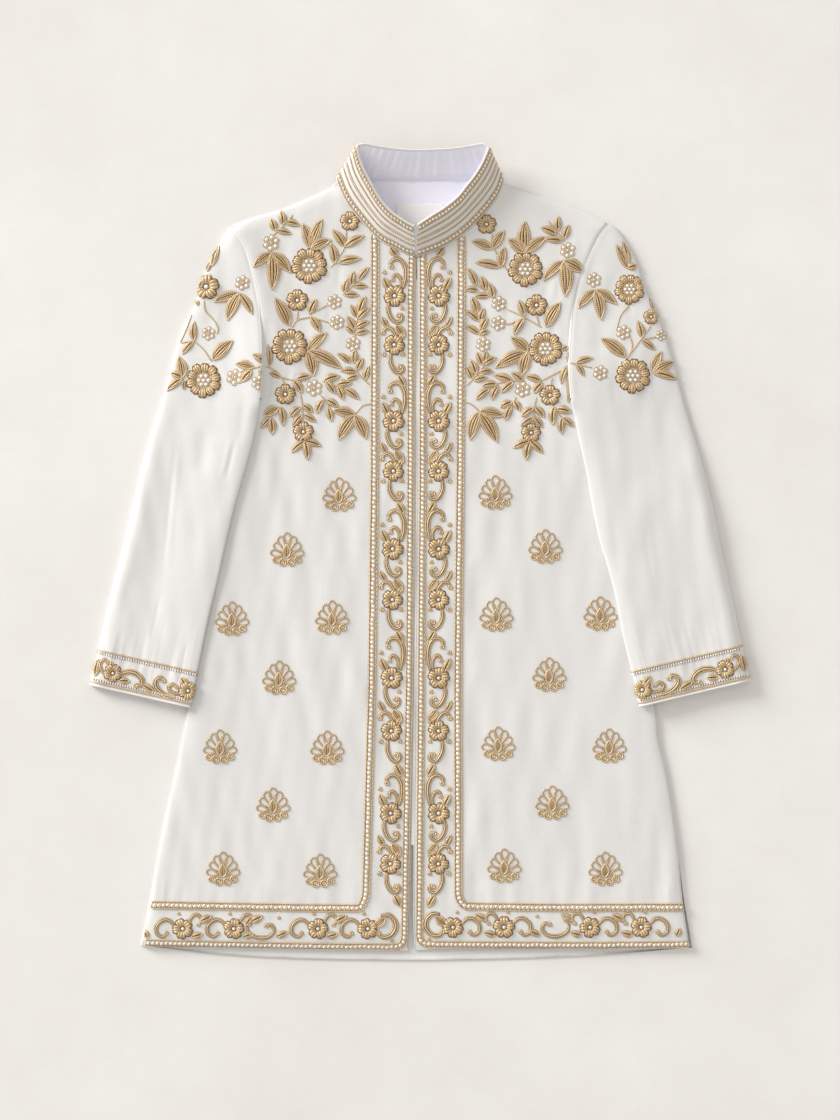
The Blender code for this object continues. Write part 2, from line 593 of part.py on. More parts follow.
def raised_face(grid, rings):
    """A grid's face with motifs raised on it: triangles that keep the grid's border points."""
    rows, columns = grid.shape[:2]
    flat = grid.reshape(-1, 3)
    border = outline_of(rows, columns)
    tree = surface_tree(grid)
    is_border = np.zeros(len(flat), bool)
    is_border[border] = True
    edge_line = np.vstack([flat[border, :2], flat[border[:1], :2]])
    rings = [r for r in rings if inside(edge_line[:-1], r).all() and distance_to(r, edge_line).min() > 1.2]
    keep = np.ones(len(flat), bool)
    for ring in rings:
        loop = np.vstack([ring, ring[:1]])
        near = inside(ring, flat[:, :2]) | (distance_to(flat, loop) < 1.5)
        keep &= is_border | ~near
    coords = [tuple(p[:2]) for p in flat[keep]]
    heights = list(flat[keep, 2])
    number = {old: new for new, old in enumerate(np.flatnonzero(keep))}
    edges = [(number[a], number[b]) for a, b in zip(border, border[1:] + border[:1])]
    for ring in rings:
        for shape, lift in ((ring, 0.0), (shrunk(ring, MOTIF_BEVEL), MOTIF_LIFT)):
            first = len(coords)
            for x, y in shape:
                coords.append((x, y))
                heights.append(height_at(tree, x, y) + lift)
            count = len(shape)
            edges += [(first + k, first + (k + 1) % count) for k in range(count)]
    out = delaunay_2d_cdt([Vector(c) for c in coords], edges, [], 1, 1e-6)
    points = []
    for place, sources in zip(out[0], out[3]):
        if sources:
            x, y = coords[sources[0]]
            points.append((x, y, heights[sources[0]]))
        else:
            points.append((place.x, place.y, height_at(tree, place.x, place.y)))
    return points, [tuple(face) for face in out[2]]


def panel(name, grid, wall, colour, roughness, rings=()):
    """A panel of cloth: a wall round the grid, its upper face carrying the raised rings."""
    rows, columns = grid.shape[:2]
    normals = grid_normals(grid)
    normals *= np.sign(normals[..., 2:3])
    upper = grid + normals * wall / 2
    lower = grid - normals * wall / 2
    points = [tuple(p) for p in upper.reshape(-1, 3)] + [tuple(p) for p in lower.reshape(-1, 3)]
    count = rows * columns
    faces = quads(rows, columns, count)
    border = outline_of(rows, columns)
    for a, b in zip(border, border[1:] + border[:1]):
        faces.append((a, b, b + count, a + count))
    if len(rings):
        extra, top = raised_face(upper, rings)
        first = len(points)
        points += extra
        faces += [tuple(first + v for v in face) for face in top]
    else:
        faces += quads(rows, columns)
    used = sorted({v for face in faces for v in face})
    order = {old: new for new, old in enumerate(used)}
    faces = [tuple(order[v] for v in face) for face in faces]
    make_object(name, [points[v] for v in used], faces, colour, roughness)
    return upper


def tube(name, grid, wall, colour, roughness, rings=()):
    """A tube of cloth round closed rings of points, its upper half carrying the raised rings."""
    count_rings, around = grid.shape[:2]
    normals = grid_normals(grid, closed=True)
    middle = grid.mean(axis=1, keepdims=True)
    outwards = np.sign(((grid - middle) * normals).sum(axis=(1, 2)))
    normals *= outwards[:, None, None]
    outer = grid + normals * wall / 2
    within = grid - normals * wall / 2
    count = count_rings * around
    points = [tuple(p) for p in outer.reshape(-1, 3)] + [tuple(p) for p in within.reshape(-1, 3)]
    faces = quads(count_rings, around, count, closed=True)
    for ring in (0, count_rings - 1):
        for j in range(around):
            a, b = ring * around + j, ring * around + (j + 1) % around
            faces.append((a, b, b + count, a + count))
    half = around // 2 + 1
    for i in range(count_rings - 1):
        for j in range(half - 1, around):
            a, b = i * around + j, i * around + (j + 1) % around
            faces.append((a, b, b + around, a + around))
    extra, top = raised_face(outer[:, :half], rings)
    first = len(points)
    points += extra
    faces += [tuple(first + v for v in face) for face in top]
    used = sorted({v for face in faces for v in face})
    order = {old: new for new, old in enumerate(used)}
    faces = [tuple(order[v] for v in face) for face in faces]
    make_object(name, [points[v] for v in used], faces, colour, roughness)
    return outer


# A braid's section. Columns: share of half its width, height above the cloth.
BRAID_SECTION = [(-1.0, SEAM_GAP), (-0.84, BRAID_LIFT), (-0.5, BRAID_LOW), (0.5, BRAID_LOW),
                 (0.84, BRAID_LIFT), (1.0, SEAM_GAP)]


def swept(name, sections, colour, roughness):
    """A solid through closed sections, one after another."""
    count = len(sections[0])
    points = [tuple(p) for section in sections for p in section]
    faces = quads(len(sections), count, closed=True)
    faces.append(tuple(range(count)))
    faces.append(tuple(len(points) - count + k for k in range(count)))
    return make_object(name, points, faces, colour, roughness)


def raised_section(start, end, up):
    """A braid's section from one edge point of the cloth to the other, moved out from it."""
    return [start + (end - start) * (share + 1) / 2 + up * lift for share, lift in BRAID_SECTION]


def front_braid(name, upper, columns, rows, top):
    """A braid over two columns of a front's upper points, turned at the foot over two of its rows."""
    up = np.array([0.0, 0.0, 1.0])
    near, far = columns
    low, high = rows
    sections = [raised_section(upper[i, near], upper[i, far], up) for i in range(top, high - 1, -1)]
    sections.append(raised_section(upper[low, near], upper[high, far], up))
    for j in range(far + 1, upper.shape[1] - 1):
        sections.append(raised_section(upper[low, j], upper[high, j], up))
    swept(name, sections, GOLD, 0.45)


def cuff_braid(name, side, outer, band):
    """A braid over the upper side of a cuff, made from the sleeve's own ring points moved out."""
    rings = {distance: k for k, distance in enumerate(reversed(CUFF_RINGS))}
    first = outer[outer.shape[0] - 1 - rings[band[0]]]
    last = outer[outer.shape[0] - 1 - rings[band[1]]]
    sections = []
    for j in range(1, ARMHOLE_STEPS):
        run = last[j] - first[j]
        tangent = first[j + 1] - first[j - 1]
        normal = np.cross(run, tangent)
        normal *= np.sign(normal[2]) / np.linalg.norm(normal)
        sections.append(raised_section(first[j], last[j], normal))
    swept(name, sections, GOLD, 0.45)


def collar_stations():
    """Seam points, top points round the collar, from the left centre front to the right one."""
    def spread(heights, count):
        front, side, back = heights
        going = list(np.interp(np.linspace(0, 1, FRONT_NECK_ROWS + 1), (0, 1), (front, side)))
        behind = list(side + (back - side) * np.sin(np.pi * np.linspace(0, 1, count + 1)) ** 0.6)
        return np.array(going + behind[1:-1] + going[::-1])

    shares = np.linspace(0, 1, FRONT_NECK_ROWS + 1)
    back_shares = np.linspace(0, 1, BACK_NECK_STEPS + 1)[1:-1]
    seam = np.vstack([neck_points(LEFT), along(smooth_curve(COLLAR_BACK_SEAM), back_shares),
                      neck_points(RIGHT)[::-1]])
    top = np.vstack([along(CURVES[LEFT]["collar_top"], shares),
                     along(smooth_curve(COLLAR_BACK_TOP), back_shares),
                     along(CURVES[RIGHT]["collar_top"], shares)[::-1]])
    seam_z = spread(COLLAR_SEAM_HEIGHTS, BACK_NECK_STEPS)
    top_z = spread(COLLAR_TOP_HEIGHTS, BACK_NECK_STEPS)
    return np.column_stack([seam, seam_z]), np.column_stack([top, top_z])


def collar_grid(shares):
    """Rows of points of the collar's middle surface, one for each share of its height."""
    seam, top = collar_stations()
    return np.array([seam + (top - seam) * share for share in shares])


def outward_normals(grid):
    normals = grid_normals(grid)
    middle = np.array([0.0, 420.0])
    facing = np.sign(((grid[..., :2] - middle) * normals[..., :2]).sum())
    return normals * facing


def build_collar():
    shares = np.array([row[0] for row in COLLAR_ROWS])
    lifts = np.array([row[1] for row in COLLAR_ROWS])
    grid = collar_grid(shares)
    normals = outward_normals(grid)
    outer = grid + normals * (COLLAR_WALL / 2 + lifts[:, None, None])
    within = grid - normals * COLLAR_WALL / 2
    wrap(("collar", IVORY), outer, within)
    clear = COLLAR_WALL / 2 + SEAM_GAP
    trimmed = collar_grid(np.linspace(0.06, 0.97, 4))[:, 1:-1]
    inner_normals = outward_normals(trimmed)
    wrap(("collar_lining", LAVENDER_WHITE), trimmed - inner_normals * clear,
         trimmed - inner_normals * (clear + LINING_WALL))


def wrap(look, outer, within):
    """A closed wall between two grids of points."""
    name, colour = look
    rows, columns = outer.shape[:2]
    count = rows * columns
    points = [tuple(p) for p in outer.reshape(-1, 3)] + [tuple(p) for p in within.reshape(-1, 3)]
    faces = quads(rows, columns) + quads(rows, columns, count)
    border = outline_of(rows, columns)
    for a, b in zip(border, border[1:] + border[:1]):
        faces.append((a, b, b + count, a + count))
    make_object(name, points, faces, colour, 0.6)


def flat_piece(look, corners, low, high):
    """A thin flat piece over an outline in plan."""
    name, colour = look
    count = len(corners)
    points = [(x, y, low) for x, y in corners] + [(x, y, high) for x, y in corners]
    faces = [tuple(range(count)), tuple(range(count, 2 * count))]
    for k in range(count):
        n = (k + 1) % count
        faces.append((k, n, n + count, k + count))
    make_object(name, points, faces, colour, 0.6)


def build_neck_lining():
    """The lining that shows inside the back of the neck, and the label on it."""
    low = BACK_WALL + SEAM_GAP
    high = low + LINING_WALL
    corners = [(-68.0, 437.4), (-71.0, 400.0), (-60.0, 366.0), (-30.0, 344.0), (0.0, 338.0), (30.0, 344.0),
               (60.0, 366.0), (71.0, 400.0), (68.0, 437.4)]
    flat_piece(("back_lining", LAVENDER_WHITE), corners, low, high)
    label_top, label_height, label_half = 410.6, 38.0, 27.5
    box = [(-label_half, label_top), (-label_half, label_top - label_height),
           (label_half, label_top - label_height), (label_half, label_top)]
    flat_piece(("label", CREAM), box, high + SEAM_GAP, high + SEAM_GAP + LABEL_WALL)


def motif_rings(side):
    rings = [buti_outline(x, y) for x, y in BUTIS[side]]
    rings += [scalloped(*row) for row in FLOWERS[side]]
    rings += [leaf_outline(*row) for row in LEAVES[side]]
    return apart(rings)


def apart(rings):
    """The rings in order, each leaf drawn back until it clears the ones before it."""
    kept = []
    for ring in rings:
        for _ in range(6):
            clashes = [other for other in kept
                       if distance_to(ring, np.vstack([other, other[:1]])).min() < 0.8
                       or distance_to(other, np.vstack([ring, ring[:1]])).min() < 0.8
                       or inside(other, ring).any()]
            if not clashes:
                break
            ring = ring.mean(axis=0) + (ring - ring.mean(axis=0)) * 0.9
        if not clashes:
            kept.append(ring)
    return kept


def build():
    for item in list(bpy.data.objects):
        bpy.data.objects.remove(item, do_unlink=True)
    panel("back", back_grid(), BACK_WALL, IVORY, 0.6)
    build_neck_lining()
    for side, word in ((LEFT, "left"), (RIGHT, "right")):
        upper = panel("front_" + word, front_grid(side), FRONT_WALL, IVORY, 0.6, motif_rings(side))
        neck_row = upper.shape[0] - FRONT_NECK_ROWS
        front_braid("braid_edge_" + word, upper, EDGE_COLUMNS, EDGE_HEM_ROWS, neck_row)
        front_braid("braid_inner_" + word, upper, INNER_COLUMNS, INNER_HEM_ROWS,
                    neck_row + INNER_BRAID_NECK_ROWS)
        rings = apart([scalloped(*row) for row in SLEEVE_FLOWERS[side]]
                      + [leaf_outline(*row) for row in SLEEVE_LEAVES[side]])
        outer = tube("sleeve_" + word, sleeve_grid(side), SLEEVE_WALL, IVORY, 0.6, rings)
        cuff_braid("cuff_braid_top_" + word, side, outer, CUFF_TOP_BRAID)
        cuff_braid("cuff_braid_hem_" + word, side, outer, CUFF_HEM_BRAID)
    build_collar()


build()
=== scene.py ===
import math

import bpy
import numpy as np
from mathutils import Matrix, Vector
from mathutils.bvhtree import BVHTree


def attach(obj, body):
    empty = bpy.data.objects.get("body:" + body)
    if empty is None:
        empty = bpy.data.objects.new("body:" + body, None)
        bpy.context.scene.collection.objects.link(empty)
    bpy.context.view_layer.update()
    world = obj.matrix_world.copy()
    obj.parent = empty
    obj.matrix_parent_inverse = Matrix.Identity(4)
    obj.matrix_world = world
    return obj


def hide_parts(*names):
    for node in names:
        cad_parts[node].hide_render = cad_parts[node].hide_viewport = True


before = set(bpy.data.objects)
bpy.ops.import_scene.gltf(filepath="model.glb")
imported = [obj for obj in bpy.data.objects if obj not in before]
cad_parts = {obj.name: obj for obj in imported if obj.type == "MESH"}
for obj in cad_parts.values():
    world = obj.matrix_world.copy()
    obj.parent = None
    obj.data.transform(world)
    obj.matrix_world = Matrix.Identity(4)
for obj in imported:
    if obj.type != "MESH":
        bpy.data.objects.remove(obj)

# A sherwani coat laid flat, face up. Places are in millimetres on the surface that it lies on: x to the
# viewer's right, y towards the collar, z up. MIDDLE_Y is where the frame's origin lies along y.
MM = 0.001
MIDDLE_Y = -0.84
LEFT, RIGHT = -1, 1
WORDS = {LEFT: "left", RIGHT: "right"}
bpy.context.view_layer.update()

# Cloth
BACK_WALL = 1.5
FRONT_WALL = 1.6
SLEEVE_WALL = 1.6
COLLAR_WALL = 1.8
SEAM_GAP = 0.3
RIM_HEIGHT = BACK_WALL + 0.45 + FRONT_WALL / 2
FRONT_HEIGHT = BACK_WALL + 3.7 + FRONT_WALL / 2
SIDE_ROLL = 15.0
HEM_ROLL = 26.0
HEM_KEEP = 0.15
FRONT_SAG = 0.5
FRONT_UNEVEN = 0.34
SLEEVE_UNEVEN = 0.30
CREASE_CLEAR = 8.0
CENTRE_DIP = 0.35
CENTRE_DIP_WIDTH = 7.0
ARMHOLE_DIP = 0.5
ARMHOLE_DIP_WIDTH = 4.0
ARMHOLE_RIDGE = {LEFT: 3.2, RIGHT: 0.8}
ARMHOLE_RIDGE_WIDTH = 42.0
SLEEVE_HOLLOW = 3.7
SLEEVE_ROLL = 16.0
SLEEVE_CAMBER = {LEFT: 4.0, RIGHT: 8.0}
SLEEVE_UNDER_ROLL = 4.0
OVER_BODY_GAP = 0.7
OVER_BODY_REACH = 10.0
OVER_BODY_RAMP = 26.0
UPPER_LAYER_START = 22.0
UPPER_LAYER_RAMP = 105.0
ARMPIT_Y = 158.0
NECK_FOOT_Y = 346.0
TURNED_IN = 7.0

# Outlines of the pieces, seen from above. Columns: x, y of each point.
SIDE_SEAM = {
    LEFT: [(-328.0, -466.0), (-317.4, -407.7), (-309.2, -355.8), (-300.9, -313.3), (-289.1, -261.4),
           (-280.8, -218.9), (-274.9, -187.0), (-240.0, -15.0), (-207.0, 158.0)],
    RIGHT: [(317.5, -466.0), (309.2, -407.7), (304.4, -355.8), (297.4, -303.8), (290.3, -261.4),
            (280.8, -218.9), (277.0, -181.0), (250.0, -15.0), (222.0, 158.0)],
}
ARMHOLE = {
    LEFT: [(-223.0, 384.1), (-214.8, 374.6), (-205.3, 356.9), (-197.1, 327.4), (-191.2, 297.9),
           (-187.6, 268.4), (-186.4, 244.8), (-186.4, 209.4), (-188.8, 179.9)],
    RIGHT: [(220.7, 387.6), (210.0, 374.6), (198.2, 351.0), (187.6, 321.6), (180.5, 289.7),
            (177.0, 251.9), (175.8, 215.3), (178.2, 179.9)],
}
SHOULDER = {
    LEFT: [(-222.6, 385.2), (-200.6, 393.5), (-160.5, 405.3), (-110.9, 426.6), (-104.0, 430.0)],
    RIGHT: [(220.2, 388.6), (178.2, 406.5), (140.4, 419.5), (110.9, 428.9), (104.0, 431.5)],
}
CENTRE_EDGE = {
    LEFT: [(-14.4, -470.2), (-11.8, -410.0), (-6.8, -150.0), (-4.6, 97.0), (-4.3, 348.0)],
    RIGHT: [(-6.0, -469.0), (-7.6, -410.0), (-5.5, -150.0), (-3.5, 97.0), (-3.2, 348.0)],
}
NECK_SEAM = {
    LEFT: [(-5.7, 349.9), (-14.2, 352.2), (-28.3, 359.3), (-47.2, 368.8), (-63.7, 385.3), (-79.1, 403.0),
           (-88.5, 417.1), (-95.6, 433.6), (-97.9, 440.7)],
    RIGHT: [(-3.0, 349.9), (18.9, 356.9), (35.4, 365.2), (51.9, 377.0), (69.6, 393.5), (83.8, 410.0),
            (93.2, 424.2), (97.9, 439.5)],
}
COLLAR_TOP = {
    LEFT: [(-7.0, 384.1), (-17.7, 390.0), (-34.2, 401.8), (-47.2, 417.1), (-57.8, 436.0), (-66.1, 452.5),
           (-70.8, 465.5), (-73.2, 478.5)],
    RIGHT: [(-2.0, 386.5), (14.2, 397.2), (30.7, 407.7), (44.8, 419.5), (53.1, 430.1), (64.9, 445.4),
            (73.2, 459.6), (80.2, 476.0)],
}
COLLAR_BACK_TOP = [(-73.2, 478.5), (-64.9, 480.4), (-47.2, 477.3), (-23.6, 474.4), (0.0, 473.4),
                   (35.4, 474.9), (59.0, 478.0), (73.5, 480.4), (80.2, 476.0)]
COLLAR_BACK_SEAM = [(-97.9, 440.7), (-60.0, 440.4), (0.0, 441.2), (60.0, 441.8), (97.9, 439.5)]
COLLAR_SEAM_HEIGHTS = (6.3, 5.6, 3.6)
COLLAR_TOP_HEIGHTS = (27.0, 30.0, 25.0)
BACK_HEM = [(-325.5, -464.3), (-259.6, -472.2), (-188.8, -477.3), (-106.2, -480.0), (0.0, -481.2),
            (94.4, -479.7), (165.2, -477.3), (236.0, -473.6), (320.5, -466.5)]
BACK_NECK_Y = 438.4
BACK_NECK_HALF = 96.0
BACK_PEEK = {LEFT: 1.0, RIGHT: 3.6}
BACK_LINING = [(-68.0, 437.4), (-71.0, 400.0), (-60.0, 366.0), (-30.0, 344.0), (0.0, 338.0), (30.0, 344.0),
               (60.0, 366.0), (71.0, 400.0), (68.0, 437.4)]
LABEL_HALF_WIDTH, LABEL_TOP, LABEL_LENGTH = 27.5, 410.6, 38.0
SLEEVE_OUTER = {
    LEFT: [(-223.4, 384.5), (-236.0, 362.8), (-252.5, 332.2), (-264.3, 293.2), (-283.2, 251.9),
           (-299.7, 191.8), (-324.5, 111.5), (-336.3, 61.9), (-350.5, 2.9), (-365.8, -56.0),
           (-378.8, -113.9), (-389.0, -157.0)],
    RIGHT: [(221.2, 388.0), (232.0, 381.0), (243.1, 366.4), (256.1, 340.4), (264.3, 313.3),
            (284.4, 267.3), (293.8, 240.1), (312.7, 170.5), (330.4, 112.7), (343.4, 61.9),
            (355.2, 2.9), (368.2, -54.9), (380.0, -111.5), (389.0, -151.6)],
}
SLEEVE_INNER = {
    LEFT: [(-189.3, 179.6), (-192.8, 154.0), (-200.6, 120.9), (-217.1, 61.9), (-228.9, 14.8),
           (-239.5, -33.6), (-250.2, -78.5), (-263.1, -141.0), (-271.4, -183.5)],
    RIGHT: [(178.7, 179.6), (185.3, 145.7), (195.9, 97.3), (210.0, 23.0), (220.7, -13.6),
            (231.3, -54.9), (240.7, -103.2), (250.2, -141.0), (259.6, -182.3)],
}
# A front's hem at the centre edge and at the side seam
HEM_ENDS = {LEFT: (-470.2, -464.3), RIGHT: (-469.0, -466.7)}

# Creases, placed one by one. Columns: start x, start y, end x, end y, half width, height.
FRONT_CREASES = {
    LEFT: [(-232, -10, -262, -350, 20, 0.55), (-176, 100, -196, -340, 26, -0.45),
           (-110, 130, -120, -400, 24, 0.40), (-150, -280, -160, -470, 14, 0.40),
           (-84, 180, -82, 40, 9, -0.35), (-136, 150, -141, 10, 8, 0.45), (-166, 140, -171, 30, 7, -0.4),
           (-198, 120, -206, -30, 8, 0.4), (-70, 60, -73, -90, 8, 0.3), (-128, 20, -131, -120, 7, -0.3),
           (-78, -110, -84, -260, 9, 0.4), (-140, -90, -147, -230, 8, 0.35), (-205, -90, -214, -240, 9, -0.4),
           (-92, -270, -94, -400, 8, -0.4), (-203, -260, -210, -420, 8, 0.4),
           (-250, -280, -262, -430, 9, 0.5),
           (-283, -300, -299, -450, 7, -0.5), (-40, 120, -43, -20, 4, 0.25),
           (-44, -130, -48, -300, 4, -0.25)],
    RIGHT: [(226, 10, 262, -340, 20, 0.55), (168, 110, 186, -350, 26, -0.45),
            (100, 120, 108, -390, 24, 0.40), (204, -290, 212, -470, 14, 0.40),
            (72, 190, 70, 60, 9, 0.35), (122, 150, 126, -10, 8, -0.45), (158, 145, 163, 40, 7, 0.4),
            (190, 130, 200, -30, 8, -0.4), (62, 30, 66, -120, 8, -0.3), (118, 10, 122, -110, 7, 0.3),
            (70, -130, 75, -270, 9, -0.35), (128, -80, 134, -240, 8, -0.35), (182, -90, 190, -250, 9, 0.4),
            (70, -270, 76, -400, 8, 0.4), (186, -250, 193, -420, 8, -0.4), (246, -270, 255, -430, 9, 0.5),
            (276, -290, 290, -450, 7, -0.5), (28, 100, 27, -40, 4, -0.25), (24, -150, 26, -310, 4, 0.25)],
}
SLEEVE_CREASES = {
    LEFT: [(-288, 142, -328, -115, 15, -1.5), (-286.7, 146, -304.4, -38, 2.6, -0.32),
           (-281, 146, -299, -38, 3.2, 0.3),
           (-252.5, 156, -259.6, 85, 9, -0.9), (-217, 137, -229, 83, 3, -0.55),
           (-222, 137, -235, 83, 3.4, 0.4),
           (-205, 190, -214, 120, 6, -0.6), (-340, -20, -362, -110, 8, -0.4), (-246, 60, -262, -60, 10, 0.6),
           (-303, -40, -322, -120, 2.8, -0.4), (-236, 330, -226, 250, 9, -0.9),
           (-228, 40, -244, -60, 6, -0.5),
           (-262, 20, -290, -90, 16, 0.6)],
    RIGHT: [(212, 160, 268, 50, 22, -1.2), (263, 32, 276, -42, 3.0, -0.2), (268, 32, 281, -42, 3.6, 0.16),
            (214, 290, 210, 225, 13, -1.1), (232, 330, 222, 296, 8, -0.6), (318, -10, 344, -110, 9, -0.4),
            (222, 60, 238, -40, 6, -0.4), (300, 120, 318, 20, 14, 0.5), (250, 0, 276, -100, 14, 0.5),
            (290, 230, 300, 160, 9, -0.5)],
}


def smooth_curve(points, steps=16):
    """A rounded line through the points, as many short straight ones."""
    inner = np.array(points, float)
    pts = np.vstack([2 * inner[0] - inner[1], inner, 2 * inner[-1] - inner[-2]])
    line = []
    for a, b, c, d in zip(pts[:-3], pts[1:-2], pts[2:-1], pts[3:]):
        for t in np.arange(steps) / steps:
            line.append(0.5 * (2 * b + (c - a) * t + (2 * a - 5 * b + 4 * c - d) * t ** 2
                               + (3 * b - a - 3 * c + d) * t ** 3))
    line.append(inner[-1])
    return np.array(line)


def lengths_along(line):
    """How far along a line each of its points is."""
    return np.concatenate([[0], np.cumsum(np.linalg.norm(np.diff(line, axis=0), axis=1))])


def along(line, shares):
    """Points at the given shares of a line's length."""
    lengths = lengths_along(line)
    wanted = np.array(shares) * lengths[-1]
    return np.stack([np.interp(wanted, lengths, line[:, k]) for k in range(line.shape[1])], axis=1)


def x_at(line, y):
    """x where a line that rises in y crosses the given y."""
    order = np.argsort(line[:, 1])
    return np.interp(y, line[order, 1], line[order, 0])


def y_at(line, x):
    """y where a line that runs on in x crosses the given x."""
    order = np.argsort(line[:, 0])
    return np.interp(x, line[order, 0], line[order, 1])


def beside(path):
    """Directions in plan along a path, and to its left, at each of its points."""
    run = np.gradient(path, axis=0)
    run /= np.maximum(np.linalg.norm(run, axis=1), 1e-9)[:, None]
    return run, np.column_stack([-run[:, 1], run[:, 0]])


def distance_to(points, line):
    """Distance in plan from each point to a line, worked out for a few thousand points at a time."""
    chunk = 4000
    a, b = line[None, :-1, :2], line[None, 1:, :2]
    run = b - a
    square = np.maximum((run ** 2).sum(2), 1e-9)
    found = []
    for first in range(0, len(points), chunk):
        p = points[first:first + chunk, None, :2]
        t = np.clip(((p - a) * run).sum(2) / square, 0, 1)
        found.append(np.linalg.norm(p - (a + run * t[..., None]), axis=2).min(axis=1))
    return np.concatenate(found)


def step_up(t):
    """Rises smoothly from 0 to 1."""
    t = np.clip(t, 0, 1)
    return t * t * (3 - 2 * t)


def rolled(t):
    """Rises from 0 to 1 like the quarter of an ellipse, as a folded edge does."""
    return np.sqrt(np.maximum(0, 1 - (1 - np.clip(t, 0, 1)) ** 2))


def crease_relief(points, creases):
    """How much the creases lift the cloth at each point."""
    total = np.zeros(len(points))
    for x0, y0, x1, y1, half_width, height in creases:
        run_x, run_y = x1 - x0, y1 - y0
        square = run_x ** 2 + run_y ** 2
        share = ((points[:, 0] - x0) * run_x + (points[:, 1] - y0) * run_y) / square
        aside = ((points[:, 0] - x0) * run_y - (points[:, 1] - y0) * run_x) / math.sqrt(square)
        ends = step_up(share / 0.35) * step_up((1 - share) / 0.35)
        total += height * ends * np.exp(-(aside / half_width) ** 2)
    return total


def puckers(start, end, away, spacing, depth, seed):
    """Short creases that stand on a row of stitching, uneven in length, depth and spacing."""
    chance = np.random.default_rng(seed)
    start, end, away = np.array(start, float), np.array(end, float), np.array(away, float)
    length = np.linalg.norm(end - start)
    place = spacing * chance.uniform(0.2, 1.0)
    rows = []
    while place < length:
        root = start + (end - start) * place / length
        tip = root + away * chance.uniform(0.45, 1.25) + (end - start) / length * chance.uniform(-2.5, 2.5)
        root = root - away * 0.25
        rows.append((*root, *tip, spacing * chance.uniform(0.20, 0.36), depth * chance.uniform(0.35, 1.2)
                     * (1 if chance.random() < 0.6 else -1)))
        place += spacing * chance.uniform(0.6, 1.5)
    return rows


def ripples(middle, reach, count, height, seed):
    """Small upright ripples that embroidery draws into the cloth round it."""
    chance = np.random.default_rng(seed)
    rows = []
    for _ in range(count):
        x = middle[0] + reach[0] * chance.uniform(-1, 1)
        y = middle[1] + reach[1] * chance.uniform(-1, 1)
        long, lean = chance.uniform(9, 26), chance.uniform(-0.35, 0.35)
        rows.append((x - lean * long, y + long, x + lean * long, y - long, chance.uniform(3.0, 6.0),
                     height * chance.uniform(0.4, 1.2) * chance.choice([-1, 1])))
    return rows


def unevenness(points, seed):
    """The slight rise and fall of cloth that was smoothed by hand, from about -1 to 1."""
    chance = np.random.default_rng(seed)
    total = np.zeros(len(points))
    waves = 14
    for _ in range(waves):
        across, lengthwise = chance.uniform(20, 80), chance.uniform(70, 260) * chance.choice([-1, 1])
        turn = points[:, 0] / across + points[:, 1] / lengthwise + chance.uniform(0, 1)
        total += np.sin(2 * np.pi * turn)
    return total / math.sqrt(waves)


OUTLINES = {"side": SIDE_SEAM, "armhole": ARMHOLE, "shoulder": SHOULDER, "centre": CENTRE_EDGE,
            "neck": NECK_SEAM, "collar_top": COLLAR_TOP, "outer": SLEEVE_OUTER, "inner": SLEEVE_INNER}
CURVES = {side: {name: smooth_curve(table[side]) for name, table in OUTLINES.items()}
          for side in (LEFT, RIGHT)}


def sleeve_frame(side):
    """Directions down a sleeve and across it to the body, in plan."""
    cuff = CURVES[side]["outer"][-1] - CURVES[side]["inner"][-1]
    across = -cuff / np.linalg.norm(cuff)
    down = np.array([across[1], -across[0]])
    return down * (1 if down[1] < 0 else -1), across


def cuff_line(side, distance):
    """The ends of a line across a cuff, that far up from its edge."""
    down, _ = sleeve_frame(side)
    return CURVES[side]["outer"][-1] - down * distance, CURVES[side]["inner"][-1] - down * distance


def all_creases(side):
    """A front's and a sleeve's creases with the puckers that the stitching draws in."""
    near, far = (-50, -306) if side == LEFT else (36, 304)
    mirror = 1 if side == LEFT else -1
    front = list(FRONT_CREASES[side])
    front += puckers((near, -418), (far, -415), (2 * mirror, 32), 13, 0.42, 11 + side)
    front += puckers((near, -440), (far, -437), (0, 20), 12, 0.25, 21 + side)
    front += puckers((side * 56, -380), (side * 54, 330), (side * 16, 2), 34, 0.20, 31 + side)
    front += ripples((side * 138, 250), (48, 120), 34, 0.42, 61 + side)
    front += ripples((side * 60, -60), (8, 380), 26, 0.22, 71 + side)
    down, _ = sleeve_frame(side)
    sleeve = list(SLEEVE_CREASES[side])
    sleeve += ripples((side * 262, 235), (40, 60), 14, 0.35, 81 + side)
    for distance, reach, depth in ((42, 62, 0.32), (42, -34, 0.5), (8, 26, 0.4)):
        start, end = cuff_line(side, distance)
        sleeve += puckers(start, end, -down * reach, 9, depth, 41 + side + int(distance))
    return front, sleeve


CREASES = {side: all_creases(side) for side in (LEFT, RIGHT)}


def front_middle(side, points):
    """Height of the middle of a front's wall at each point in plan."""
    lines = CURVES[side]
    rim = np.minimum(distance_to(points, lines["side"]), distance_to(points, lines["shoulder"]))
    hem = np.maximum(0, points[:, 1] - HEM_ENDS[side][1])
    centre = distance_to(points, lines["centre"])
    armhole = distance_to(points, lines["armhole"])
    rise = rolled(rim / SIDE_ROLL) * (HEM_KEEP + (1 - HEM_KEEP) * rolled(hem / HEM_ROLL))
    lift = FRONT_HEIGHT - RIM_HEIGHT - FRONT_SAG + FRONT_UNEVEN * unevenness(points, 3 + side)
    settle = step_up(centre / CREASE_CLEAR) * step_up(armhole / CREASE_CLEAR)
    lift = lift + crease_relief(points, CREASES[side][0]) * settle
    lift = lift - CENTRE_DIP * (1 - step_up(centre / CENTRE_DIP_WIDTH))
    lift = lift - ARMHOLE_DIP * (1 - step_up(armhole / ARMHOLE_DIP_WIDTH))
    lift = lift + ARMHOLE_RIDGE[side] * (1 - step_up(armhole / ARMHOLE_RIDGE_WIDTH))
    return RIM_HEIGHT + lift * rise


